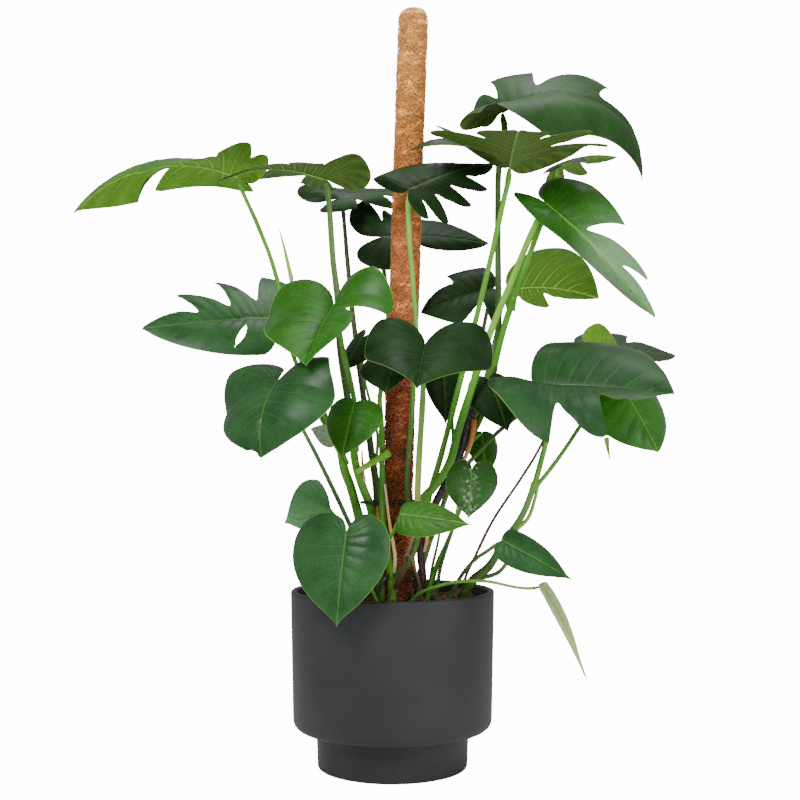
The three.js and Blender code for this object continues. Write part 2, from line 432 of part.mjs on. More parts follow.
// Each group grows together from the soil. radius: at the top and at the bottom; path: from the top down.
// A stalk that carries a leaf starts inside that leaf's joint.
const stemGroups = {
  stems_left: [
    { radius: [6.5, 8.5], sides: stemSides, path: [[-75, -30, 462], [-70, -30, 435], [-61, -28, 410],
      [-48, -24, 362], [-33, -18, 310], [-22, -15, 256], [-20, -14, 200]] },
    { radius: [6, 7.5], sides: stemSides, path: [[-57, -42, 470], [-53, -42, 442], [-43, -40, 410],
      [-32, -37, 381], [-24, -32, 333], [-19, -27, 257], [-18, -25, 202]] },
    { leaf: 'leaf_left_high', radius: [3, 4], path: [[-221, -39, 846], [-199, -38, 797], [-177, -36, 741],
      [-153, -40, 656], [-134, -40, 598], [-103, -35, 525], [-70, -30, 449]] },
    { radius: [0.8, 3.6], path: [[-165, -40, 786], [-157, -40, 755], [-147, -40, 712]] },
    { radius: [2.4, 3], path: [[-148, -40, 718], [-142, -40, 653], [-133, -40, 594]] },
    { leaf: 'leaf_left_middle', radius: [3, 4], path: [[-160, -26, 638], [-136, -24, 578], [-106, -25, 515],
      [-71, -29, 449]] },
    { leaf: 'leaf_bud_left', radius: [1.5, 2.5], path: [[-74, -50, 468], [-65, -34, 444]] },
    { leaf: 'leaf_left_low', radius: [2.8, 3.6], path: [[-147, -160, 541], [-123, -125, 492],
      [-101, -97, 446], [-61, -62, 357], [-41, -46, 306], [-20, -26, 250]] },
    { leaf: 'leaf_left_inner', radius: [4, 5.5], path: [[-94, -58, 838], [-86, -52, 739], [-79, -52, 680],
      [-76, -50, 613], [-67, -45, 551], [-60, -43, 505], [-56, -42, 464]] },
    { leaf: 'leaf_left_front', radius: [3.5, 4], path: [[-77, -112, 651], [-71, -98, 613], [-54, -68, 531],
      [-52, -45, 462]] },
    { leaf: 'leaf_heart_left', radius: [2.2, 3], path: [[-51, -112, 512], [-51, -85, 480], [-54, -56, 463],
      [-54, -43, 446]] },
    { leaf: 'leaf_rear_left', radius: [3, 6], path: [[-77, 53, 834], [-69, 40, 751], [-61, 26, 674],
      [-46, 8, 560], [-33, -10, 473], [-23, -18, 395], [-27, -18, 325], [-24, -16, 290]] },
    { leaf: 'leaf_centre_left', radius: [1.8, 2.5], path: [[-45, -20, 606], [-42, -20, 572], [-33, -19, 535],
      [-26, -18, 510], [-22, -16, 480], [-25, -15, 440]] },
    { radius: [1.4, 2.2], path: [[-44, -48, 462], [-43, -47, 440], [-40, -44, 418]] },
  ],
  stems_front: [
    { leaf: 'leaf_centre_front', radius: [3.8, 5.5], path: [[43, -180, 588], [42, -150, 533],
      [38, -105, 458], [36, -76, 400], [36, -62, 345], [26, -58, 309], [8, -56, 280], [-2, -53, 250],
      [-3, -50, 202]] },
    { leaf: 'leaf_centre_inner', radius: [3, 6], path: [[5, -120, 588], [-10, -84, 568], [-18, -58, 540],
      [-16, -51, 503], [-15, -51, 421], [-14, -52, 363], [-8, -53, 323], [-3, -54, 290], [0, -52, 250],
      [0, -50, 202]] },
    { radius: [6, 4], path: [[-5, -60, 460], [-17, -56, 453], [-29, -56, 446], [-51, -61, 433]] },
    { leaf: 'leaf_pointed_front', radius: [2.2, 3], path: [[5, -126, 358], [-6, -95, 330], [-2, -54, 275]] },
    { radius: [1.6, 2.8], path: [[-11, -55, 415], [-4, -60, 360], [4, -60, 310], [3, -55, 288]] },
    { radius: [2.6, 3.4], path: [[31, -72, 345], [18, -66, 305], [4, -58, 266]] },
    { radius: [1.8, 2.2], path: [[22, -60, 300], [17, -69, 314], [25, -73, 313], [33, -71, 292],
      [40, -67, 268], [42, -64, 244], [43, -62, 205]] },
    { radius: [1.4, 2.6], path: [[-22, -52, 382], [-20, -52, 364], [-14, -51, 340]] },
    { radius: [2.6, 3], path: [[-4, -55, 286], [-14, -62, 276], [-22, -65, 256], [-25, -64, 205]] },
  ],
  stems_right: [
    { radius: [7.2, 4.6], sides: stemSides, path: [[115, -29, 542], [109, -31, 500], [97, -34, 457],
      [82, -36, 423], [62, -37, 385], [46, -39, 345], [41, -41, 318], [44, -42, 285], [46, -42, 256],
      [46, -41, 200]] },
    { leaf: 'leaf_top', radius: [4.2, 5.2], path: [[166, -18, 938], [163, -2, 915], [159, 8, 884],
      [157, 0, 810], [156, -14, 740], [156, -16, 690], [156, -8, 628], [146, -6, 560], [126, -18, 505],
      [108, -30, 478]] },
    { leaf: 'leaf_front_tall', radius: [3.8, 4.5], path: [[167, -64, 852], [160, -67, 822], [141, -56, 736],
      [120, -50, 649], [95, -48, 551], [80, -46, 492], [66, -42, 440], [54, -39, 400], [47, -38, 360]] },
    { leaf: 'leaf_right_hanging', radius: [4, 6.5], path: [[212, -80, 801], [200, -74, 776],
      [170, -66, 704], [140, -62, 631], [116, -57, 558], [96, -56, 496], [82, -54, 445], [62, -52, 413],
      [44, -47, 392], [40, -40, 360]] },
    { leaf: 'leaf_small_high', radius: [3.5, 5.5], path: [[247, 39, 878], [240, 10, 845], [216, -26, 790],
      [190, -36, 720], [166, -20, 650], [146, -4, 572], [124, -14, 518], [107, -28, 484]] },
    { leaf: 'leaf_front_high', radius: [3.5, 3.5], path: [[23, -106, 813], [24, -100, 768], [29, -92, 705],
      [34, -80, 628], [30, -68, 560], [27, -60, 500], [22, -54, 440], [22, -50, 395], [32, -46, 355],
      [40, -42, 322]] },
    { leaf: 'leaf_right_inner', radius: [2.5, 3.5], path: [[138, -31, 542], [122, -29, 516],
      [111, -31, 500]] },
    { leaf: 'leaf_right_under', radius: [2, 3], path: [[124, 8, 481], [99, -30, 458]] },
    { leaf: 'leaf_rear_far_right', radius: [2.5, 3.5], path: [[309, 104, 601], [257, 72, 559], [211, 40, 530],
      [160, 8, 493], [105, -26, 439], [82, -35, 420]] },
    { radius: [4, 3], path: [[119, -36, 508], [116, -37, 484], [108, -38, 458], [97, -36, 438]] },
    { radius: [1.6, 2.6], path: [[71, -58, 365], [65, -58, 330], [58, -57, 300], [54, -54, 275],
      [49, -45, 250]] },
    { radius: [2.2, 4], path: [[98, -50, 405], [90, -56, 361], [78, -58, 331], [65, -58, 302],
      [57, -55, 275], [50, -47, 245]] },
    { radius: [3.2, 2.2], path: [[49, -50, 352], [50, -50, 335], [46, -45, 318]] },
  ],
  stems_back: [
    { radius: [4.5, 6], sides: stemSides, path: [[56, 30, 328], [41, 29, 276], [36, 29, 239],
      [34, 29, 198]] },
    { leaf: 'leaf_rear_middle', radius: [3.2, 4], path: [[-19, 70, 777], [-14, 66, 743], [-9, 60, 693],
      [-3, 54, 570], [6, 48, 463], [22, 40, 350], [36, 30, 256]] },
    { leaf: 'leaf_rear_right', radius: [3.2, 4.2], path: [[173, 84, 699], [161, 72, 648], [146, 60, 586],
      [117, 48, 494], [87, 38, 411], [55, 30, 323]] },
    { leaf: 'leaf_rear_small', radius: [3, 3.5], path: [[146, 42, 686], [133, 44, 623], [117, 45, 547],
      [99, 41, 441]] },
    { leaf: 'leaf_heart_rear', radius: [2, 3], path: [[80, 68, 583], [87, 64, 540], [92, 53, 480],
      [87, 39, 407]] },
  ],
  stems_far_right: [
    { radius: [4.2, 7.5], sides: stemSides, path: [[198, -112, 419], [193, -108, 400], [182, -100, 372],
      [159, -85, 335], [137, -72, 298], [115, -64, 278], [100, -57, 254], [95, -54, 200]] },
    { leaf: 'leaf_right_low', radius: [3.5, 4.2], path: [[205, -142, 542], [216, -130, 513], [214, -122, 479],
      [206, -116, 444], [197, -110, 409]] },
    { leaf: 'leaf_right_outer', radius: [2.8, 3.2], path: [[304, -104, 555], [281, -98, 524], [260, -97, 491],
      [230, -100, 448], [197, -109, 408]] },
    { radius: [0.8, 4], path: [[307, -94, 452], [304, -95, 466], [302, -95, 481]] },
    { radius: [1.8, 2.2], path: [[302, -95, 485], [298, -96, 499], [280, -98, 521]] },
    { radius: [2, 2.2], path: [[214, -122, 487], [203, -112, 462], [180, -92, 422], [142, -74, 362],
      [117, -68, 310], [105, -62, 283], [100, -58, 258]] },
    { radius: [2.8, 3.4], path: [[166, -84, 312], [156, -79, 296], [146, -74, 288], [126, -67, 282]] },
    { radius: [2.4, 3.2], path: [[204, -107, 415], [200, -99, 394], [191, -93, 368], [172, -92, 350]] },
  ],
  stem_low_right: [
    { leaf: 'leaf_low_right', radius: [2.5, 3.2], path: [[144, -142, 336], [132, -122, 325], [114, -98, 309],
      [97, -80, 285], [80, -70, 248], [76, -68, 205]] },
  ],
  stem_runner: [
    { leaf: 'leaf_runner', radius: [2, 3], path: [[195, -84, 269], [175, -88, 271], [131, -92, 280],
      [91, -92, 279], [63, -88, 272], [34, -80, 258], [20, -76, 238], [18, -75, 205]] },
  ],
  stem_low_left: [
    { leaf: 'leaf_low_front', radius: [2.5, 3.2], path: [[-57, -158, 338], [-44, -130, 300], [-28, -102, 266],
      [-17, -86, 235], [-16, -84, 205]] },
  ],
  stem_low_left_rear: [
    { leaf: 'leaf_low_left_rear', radius: [2.2, 3], path: [[-80, -62, 366], [-60, -66, 322], [-46, -66, 272],
      [-41, -64, 205]] },
  ],
  stem_small_right: [
    { leaf: 'leaf_heart_right', radius: [2.2, 3], path: [[108, -124, 419], [98, -108, 388], [82, -84, 342],
      [68, -66, 293], [63, -58, 250], [61, -56, 205]] },
  ],
};

// Points on the smooth curve through the path, with one more between two points that lie far apart.
function curvePoints(path) {
  const curve = new THREE.CatmullRomCurve3(path.map(vec), false, 'centripetal');
  const last = path.length - 1;
  const stops = path.flatMap((p, i) => (i < last && vec(p).distanceTo(vec(path[i + 1])) > farApart
    ? [i / last, (i + 0.5) / last] : [i / last]));
  return stops.map((u) => curve.getPoint(u));
}

function stalkSolid(stalk, grow) {
  const path = stalk.path.map((p) => [...p]);
  path[path.length - 1][2] -= grow;
  if (stalk.leaf) {
    const leaf = leaves[stalk.leaf];
    path.unshift(vec(leaf.joint).addScaledVector(leafAxes(leaf).along, petioleReach).toArray());
  }
  const centres = curvePoints(path);
  const [top, bottom] = stalk.radius;
  return sweep(centres, (u) => THREE.MathUtils.lerp(top, bottom, u) + grow, stalk.sides ?? stalkSides);
}

// A stalk ends just short of its blade, on the underside and beside the notch.
function trimmedStalk(stalk) {
  const whole = stalkSolid(stalk, 0);
  if (!stalk.leaf) return whole;
  const back = leafAxes(leaves[stalk.leaf]).along.multiplyScalar(-bladeGap);
  const blade = thicken(sheets[stalk.leaf], bladeThickness);
  return largestBody(whole.subtract(thicken(sheets[stalk.leaf], bladeThickness + 2 * bladeGap))
    .subtract(blade).subtract(blade.translate(back.toArray())));
}

// Pole: a stick inside a sleeve of wound coir with a rounded head
const poleAxis = [[6.5, 5, 256], [8, 5, 404], [11, 5, 527], [18, 5, 705], [23.5, 5, 904], [31.5, 5, 1127]];

function poleAt(z) {
  const above = poleAxis.findIndex((p) => p[2] > z);
  const i = above < 0 ? poleAxis.length - 1 : Math.max(above, 1);
  const [p, q] = [vec(poleAxis[i - 1]), vec(poleAxis[i])];
  return z < p.z ? vec([p.x, p.y, z]) : p.lerp(q, (z - p.z) / (q.z - p.z));
}

const poleTop = 1127;
const headHeight = 14;           // the rounded end of the sleeve
const coreTop = poleTop - headHeight - 3;

function poleCentres(bottom, top, steps) {
  return Array.from({ length: steps + 1 }, (_, i) => poleAt(THREE.MathUtils.lerp(bottom, top, i / steps)));
}

function coreSolid(grow) {
  return sweep(poleCentres(poleBottom - grow, coreTop + grow, 7), () => coreRadius + grow, 8);
}

function sleeveSolid(grow) {
  const shoulder = poleTop - headHeight;
  const centres = poleCentres(coirBottom - grow, shoulder, 8);
  const head = [0.35, 0.65, 0.88, 1].map((f) => poleAt(shoulder + headHeight * f));
  const rounded = (z) => Math.sqrt(1 - 0.9 * clamp((z - shoulder) / headHeight, 0, 1) ** 2.5);
  const all = [...centres, ...head];
  return sweep(all, (u) => coirRadius * rounded(all[Math.round(u * (all.length - 1))].z) + grow, 12);
}

// Tie: a cord round the pole and the second stem of the left group
function tieSolid() {
  const pole = { at: poleAt(tieHeight), radius: coirRadius + 1 + tieRadius };
  const stem = { at: vec([...tiedStem.at, tieHeight]), radius: tiedStem.radius + gap + tieRadius };
  const ahead = stem.at.clone().sub(pole.at);
  const heading = Math.atan2(ahead.y, ahead.x);
  const spread = Math.acos((pole.radius - stem.radius) / ahead.length());
  const onCircle = (circle, turn) => circle.at.clone()
    .add(vec([Math.cos(turn) * circle.radius, Math.sin(turn) * circle.radius, 0]));
  const centres = [];
  for (let i = 0; i <= 9; i++) {
    centres.push(onCircle(pole, heading + spread + (2 * Math.PI - 2 * spread) * i / 9));
  }
  for (let i = 0; i <= 4; i++) centres.push(onCircle(stem, heading - spread + 2 * spread * i / 4));
  return sweep(centres, () => tieRadius, 6, true);
}

// Pot: a round body on a narrower foot, filled with bark soil

function turned(profile, segments) {
  return toManifold(new THREE.LatheGeometry(profile.map((p) => new THREE.Vector2(...p)), segments)
    .rotateX(Math.PI / 2));
}

// Outside from the middle of the foot up to the lip, then back down the inside.
function potSolid() {
  const lip = potWall / 2;
  const lipArc = [0, 45, 90, 135, 180].map((turn) => [potRadius - lip + lip * Math.cos(rad(turn)),
    potHeight - lip + lip * Math.sin(rad(turn))]);
  return turned([[0, 0], [footRadius - 4, 0], [footRadius, 4], [footRadius + 2, footHeight],
    [footRadius + 7, footHeight + 5], [potRadius - 13, footHeight + 8], [potRadius - 6, footHeight + 13],
    [potRadius - 4, footHeight + 20], ...lipArc, [potRadius - potWall - 4, footHeight + 24],
    [potRadius - 24, footHeight + 17], [footWall, footHeight + 10], [footWall, potFloor + 4],
    [footWall - 6, potFloor], [0, potFloor]], turnedSides);
}

// The soil follows the inside of the pot, and its top is lumpy and sinks a little towards the wall.
function soilSolid() {
  const rings = [];
  for (let r = potRadius - potWall - 2; r > 0; r -= soilRing) rings.push([r, soilHeight]);
  const profile = [[0, potFloor + gap], [footWall - 6, potFloor + gap], [footWall - gap, potFloor + 4 + gap],
    [footWall - gap, footHeight + 10 + gap], [potRadius - 24, footHeight + 17 + gap],
    [potRadius - potWall - 5, footHeight + 24 + gap], [potRadius - potWall - 1, soilHeight - 4],
    ...rings, [0, soilHeight]];
  const soil = new THREE.LatheGeometry(profile.map((p) => new THREE.Vector2(...p)), turnedSides)
    .rotateX(Math.PI / 2);
  const place = soil.attributes.position;
  for (let i = 0; i < place.count; i++) {
    const [x, y, z] = [place.getX(i), place.getY(i), place.getZ(i)];
    const lump = 2.5 * Math.sin(x / 9 + 2) * Math.sin(y / 8) + 1.5 * Math.sin(x / 5 - y / 6);
    if (z > soilHeight - 0.1) place.setZ(i, z + lump - 0.00015 * (x * x + y * y));
  }
  return toManifold(soil);
}

// Assembly
const plant = new THREE.Group();
const join = (solids) => solids.reduce((p, q) => p.add(q));
let soilBody = soilSolid().subtract(coreSolid(gap)).subtract(sleeveSolid(gap));
for (const [name, stalks] of Object.entries(stemGroups)) {
  plant.add(piece(name, join(stalks.map(trimmedStalk)), shade.stalk, 0.5));
  soilBody = soilBody.subtract(join(stalks.map((stalk) => stalkSolid(stalk, gap))));
}
for (const [name, sheet] of Object.entries(sheets)) {
  plant.add(piece(name, thicken(sheet, bladeThickness), shade[leaves[name].colour], 0.4));
}
plant.add(piece('pot', potSolid(), shade.pot, 0.6));
plant.add(piece('soil', largestBody(soilBody), shade.soil, 0.95));
plant.add(piece('pole_core', coreSolid(0), shade.wood, 0.8));
plant.add(piece('pole_coir', sleeveSolid(0).subtract(coreSolid(gap)), shade.coir, 0.95));
plant.add(piece('tie', tieSolid(), shade.cord, 0.7));

export default plant;
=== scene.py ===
# Potted swiss cheese plant on a coir pole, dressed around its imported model.
# Tables are in millimetres, finished meshes in metres, +Z up, the viewer stands at -Y.
import bpy
import math
import numpy as np
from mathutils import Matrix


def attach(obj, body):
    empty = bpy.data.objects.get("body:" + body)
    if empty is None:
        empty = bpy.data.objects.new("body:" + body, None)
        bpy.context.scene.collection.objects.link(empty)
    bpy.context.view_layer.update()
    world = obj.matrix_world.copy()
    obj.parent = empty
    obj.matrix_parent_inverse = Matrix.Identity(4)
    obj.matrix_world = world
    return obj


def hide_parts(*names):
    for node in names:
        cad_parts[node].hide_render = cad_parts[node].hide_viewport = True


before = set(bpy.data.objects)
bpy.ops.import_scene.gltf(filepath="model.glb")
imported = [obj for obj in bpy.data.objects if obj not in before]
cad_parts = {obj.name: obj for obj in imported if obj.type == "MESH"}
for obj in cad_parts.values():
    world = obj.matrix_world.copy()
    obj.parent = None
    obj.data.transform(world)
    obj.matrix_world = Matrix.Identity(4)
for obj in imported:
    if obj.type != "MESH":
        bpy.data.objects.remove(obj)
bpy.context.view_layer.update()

mm = 0.001

# Camera: eye height and lens give the pot rim's ellipse and the size of the plant in the picture.
camera = dict(eye=(11, -1900, 480), pitch=1.745, lens=57.6)
eye = bpy.data.objects.new("camera", bpy.data.cameras.new("camera"))
eye.data.lens = camera["lens"]
eye.location = [v * mm for v in camera["eye"]]
eye.rotation_euler = (math.radians(90 + camera["pitch"]), 0, 0)
bpy.context.scene.collection.objects.link(eye)
bpy.context.scene.camera = eye
print("camera placed")


# Small helpers: colours, nodes, meshes

def linear(hexColour):
    # sRGB hex to linear: each channel c is ((c + 0.055) / 1.055) to the power 2.4.
    parts = [int(hexColour[i:i + 2], 16) / 255 for i in (1, 3, 5)]
    return [c / 12.92 if c <= 0.04045 else ((c + 0.055) / 1.055) ** 2.4 for c in parts] + [1]


def addNode(tree, kind, settings=None, inputs=None):
    # Adds one shader node, sets its properties, then sets its inputs or links them. A node given for an
    # input links its main output, which is the first, or the colour of a mix.
    node = tree.nodes.new("ShaderNode" + kind)
    for key, value in (settings or {}).items():
        if key == "stops":
            ramp = node.color_ramp
            while len(ramp.elements) < len(value):
                ramp.elements.new(1)
            for element, (place, hexColour) in zip(ramp.elements, value):
                element.position, element.color = place, linear(hexColour)
        else:
            setattr(node, key, value)
    for key, value in (inputs or {}).items():
        if isinstance(value, bpy.types.Node):
            value = value.outputs[2 if value.bl_idname == "ShaderNodeMix" else 0]
        if isinstance(value, bpy.types.NodeSocket):
            tree.links.new(value, node.inputs[key])
        else:
            node.inputs[key].default_value = value
    return node


def newMaterial(name, **sockets):
    # A material with its shader; the keywords name the shader's own sockets.
    material = bpy.data.materials.new(name)
    material.use_nodes = True
    shader = material.node_tree.nodes["Principled BSDF"]
    for key, value in sockets.items():
        shader.inputs[key].default_value = value
    return material, material.node_tree, shader


def makePiece(name, points, corners, counts, paints, slot, paintOf=None, maps=None, tones=None, sharp=50):
    # A mesh from numpy arrays: points in mm, one flat row of corners, and the corners of each face.
    mesh = bpy.data.meshes.new(name)
    mesh.vertices.add(len(points))
    mesh.vertices.foreach_set("co", (np.asarray(points, float) * mm).ravel())
    mesh.loops.add(len(corners))
    mesh.loops.foreach_set("vertex_index", np.asarray(corners, np.int32))
    mesh.polygons.add(len(counts))
    starts = np.concatenate([[0], np.cumsum(counts)[:-1]])
    mesh.polygons.foreach_set("loop_start", starts.astype(np.int32))
    mesh.polygons.foreach_set("use_smooth", np.ones(len(counts), bool))
    if paintOf is not None:
        mesh.polygons.foreach_set("material_index", np.asarray(paintOf, np.int32))
    mesh.update(calc_edges=True)
    for key, values in (maps or {}).items():
        layer = mesh.uv_layers.new(name=key)
        layer.data.foreach_set("uv", np.asarray(values, np.float32).ravel())
    if tones is not None:
        attribute = mesh.attributes.new("tone", "FLOAT", "POINT")
        attribute.data.foreach_set("value", np.asarray(tones, np.float32))
    mesh.set_sharp_from_angle(angle=math.radians(sharp))
    for paint in paints:
        mesh.materials.append(paint)
    piece = bpy.data.objects.new(name, mesh)
    bpy.context.scene.collection.objects.link(piece)
    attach(piece, "root")
    return piece


def gridFaces(rows, columns, wrap=False):
    # Quads between neighbouring rows of a grid whose points run along its rows first.
    i, j = np.meshgrid(np.arange(rows - 1), np.arange(columns if wrap else columns - 1), indexing="ij")
    k = (j + 1) % columns
    quads = np.stack([i * columns + j, i * columns + k, (i + 1) * columns + k, (i + 1) * columns + j], -1)
    return quads.reshape(-1, 4)


def closedRings(rings, first, last, flip=False):
    # Rings of points joined by quads, with a fan of triangles to one middle point at each end. flip
    # turns the faces round, for rings that run from the top down.
    count, sides = rings.shape[:2]
    points = np.vstack([rings.reshape(-1, 3), [first], [last]])
    faces = gridFaces(count, sides, wrap=True)
    j = np.arange(sides)
    k = (j + 1) % sides
    end = (count - 1) * sides
    start = np.stack([np.full(sides, count * sides), k, j], 1)
    stop = np.stack([np.full(sides, count * sides + 1), end + j, end + k], 1)
    if flip:
        faces, start, stop = faces[:, ::-1], start[:, ::-1], stop[:, ::-1]
    corners = np.concatenate([faces.ravel(), start.ravel(), stop.ravel()])
    return points, corners, np.concatenate([np.full(len(faces), 4), np.full(2 * sides, 3)])


def waves(place, size, seed, count=14):
    # Smooth noise near -1 to 1: a sum of sine waves of random direction, each about size mm long,
    # divided so that few values pass 1.
    draw = np.random.default_rng(seed)
    ways = draw.normal(size=(count, place.shape[-1]))
    ways *= 2 * math.pi / size / np.linalg.norm(ways, axis=1, keepdims=True)
    phases = draw.uniform(0, 2 * math.pi, count)
    return np.sin(place @ ways.T + phases).sum(-1) * math.sqrt(2 / count) / 1.6


def smooth(x):
    # 3x² - 2x³ between 0 and 1.
    x = np.clip(x, 0, 1)
    return x * x * (3 - 2 * x)


def curvePoints(path, step):
    # Centripetal Catmull-Rom curve through the path, in even steps of its length.
    p = np.asarray(path, float)
    p = np.vstack([2 * p[0] - p[1], p, 2 * p[-1] - p[-2]])
    gaps = np.sqrt(np.linalg.norm(np.diff(p, axis=0), axis=1))[:, None]
    a, b, c = gaps[:-2], gaps[1:-1], gaps[2:]
    p0, p1, p2, p3 = p[:-3], p[1:-2], p[2:-1], p[3:]
    leave = ((p1 - p0) / a - (p2 - p0) / (a + b) + (p2 - p1) / b) * b
    arrive = ((p2 - p1) / b - (p3 - p1) / (b + c) + (p3 - p2) / c) * b
    samples = 24  # between two points of the path
    f = np.linspace(0, 1, samples, endpoint=False)[:, None, None]
    curve = p1 + leave * f + (3 * (p2 - p1) - 2 * leave - arrive) * f ** 2 \
        + (2 * (p1 - p2) + leave + arrive) * f ** 3
    dense = np.vstack([curve.transpose(1, 0, 2).reshape(-1, 3), p[-2]])
    along = np.concatenate([[0], np.cumsum(np.linalg.norm(np.diff(dense, axis=0), axis=1))])
    even = np.linspace(0, along[-1], max(3, int(along[-1] / step) + 1))
    return np.stack([np.interp(even, along, dense[:, k]) for k in range(3)], 1)


def tube(centres, radii, sides, first, loop=False):
    # Rings of points round the centres. Each ring starts towards the direction first, less its part along
    # the curve. radii is one value for a ring, or one for each point. Ends are closed by a low cone.
    count = len(centres)
    ahead = np.roll(centres, -1, 0) - np.roll(centres, 1, 0)
    if not loop:
        ahead[0], ahead[-1] = centres[1] - centres[0], centres[-1] - centres[-2]
    ahead /= np.linalg.norm(ahead, axis=1, keepdims=True)
    normals = first - ahead * (ahead @ np.asarray(first, float))[:, None]
    normals /= np.linalg.norm(normals, axis=1, keepdims=True)
    across = np.cross(ahead, normals)
    turn = 2 * math.pi * np.arange(sides) / sides
    ring = normals[:, None] * np.cos(turn)[:, None] + across[:, None] * np.sin(turn)[:, None]
    radii = np.broadcast_to(np.asarray(radii, float).reshape(count, -1), (count, sides))
    rings = centres[:, None] + ring * radii[..., None]
    u = np.repeat(np.linspace(0, 1, count), sides)
    if loop:
        faces = gridFaces(count + 1, sides, wrap=True) % (count * sides)
        return rings.reshape(-1, 3), faces.ravel(), np.full(len(faces), 4), u
    cone = 0.5  # height of an end, in radii
    lowTip = centres[0] - ahead[0] * radii[0].mean() * cone
    highTip = centres[-1] + ahead[-1] * radii[-1].mean() * cone
    return *closedRings(rings, lowTip, highTip), np.concatenate([u, [0, 1]])


def joinParts(parts):
    # Several (points, corners, counts, ...) as one: corners are moved up by the points before them.
    offsets = np.cumsum([0] + [len(part[0]) for part in parts[:-1]])
    points = np.vstack([part[0] for part in parts])
    corners = np.concatenate([part[1] + offset for part, offset in zip(parts, offsets)])
    counts = np.concatenate([part[2] for part in parts])
    return points, corners, counts


# Leaf finishes

# Each finish is one living cuticle: top, underside, vein and margin colours, and how waxy it is. The
# underside colours are paler than the top, partly as a real underside is and partly painted light shining
# through the thin blade.
leafLooks = dict(
    dark=dict(top="#1f3a19", deep="#13270f", vein="#3f5f2b", under="#3a5522", ribUnder="#86a844",
              margin="#5f8a2c", gloss=0.42, shine=0.09, slot="leaf_dark"),
    mid=dict(top="#2a5229", deep="#1b3c1d", vein="#4f7a30", under="#47702a", ribUnder="#93b94a",
             margin="#74a034", gloss=0.35, shine=0.2, slot="leaf_dark"),
    bright=dict(top="#2f6c18", deep="#225113", vein="#5f9a30", under="#588c2a", ribUnder="#98c24c",
                margin="#84b83a", gloss=0.36, shine=0.26, slot="leaf_dark"),
    # This finish paints a grey sheen towards the tip of its waxy top: painted reflection, not the leaf's
    # own colour.
    sheenTipped=dict(top="#2f6c18", deep="#245314", vein="#5f9a30", under="#588c2a", ribUnder="#98c24c",
                 margin="#84b83a", gloss=0.36, shine=0.26, slot="leaf_dark", paintedSheen="#7d9c78"),
    # This finish's blue-grey green top is painted reflection of the pale surround.
    skyReflected=dict(top="#5c8f5e", deep="#4c7e50", vein="#6f9a60", under="#5a8a40", ribUnder="#93b94a",
                margin="#7fa850", gloss=0.38, shine=0.24, slot="leaf_dark"),
    dusty=dict(top="#66755c", deep="#55654a", vein="#7f8f6c", under="#6d7c62", ribUnder="#8d9c7c",
               margin="#7f9a58", gloss=0.5, shine=0.2, slot="leaf_dark"),
    fresh=dict(top="#458020", deep="#33661a", vein="#5f9630", under="#6aa22a", ribUnder="#aed658",
               margin="#98ca44", gloss=0.44, shine=0.24, slot="leaf_fresh"),
    splashed=dict(top="#2f6222", deep="#234c1a", vein="#527f34", under="#5a8a34", ribUnder="#a6cc5c",
                  margin="#8ab848", gloss=0.44, shine=0.22, slot="leaf_fresh", splash="#b4c2aa"),
    # This finish's grey top is a painted sheen, light glancing off the upper face.
    sheenGreyed=dict(top="#35482f", deep="#283924", vein="#56703c", under="#6fa82c", ribUnder="#b4d862",
                margin="#8fc048", gloss=0.45, shine=0.24, slot="leaf_fresh"),
    lime=dict(top="#a6ba80", deep="#98b070", vein="#b4d66c", under="#a4b886", ribUnder="#c2da80",
              margin="#a8d850", gloss=0.42, shine=0.24, slot="leaf_lime"),
)


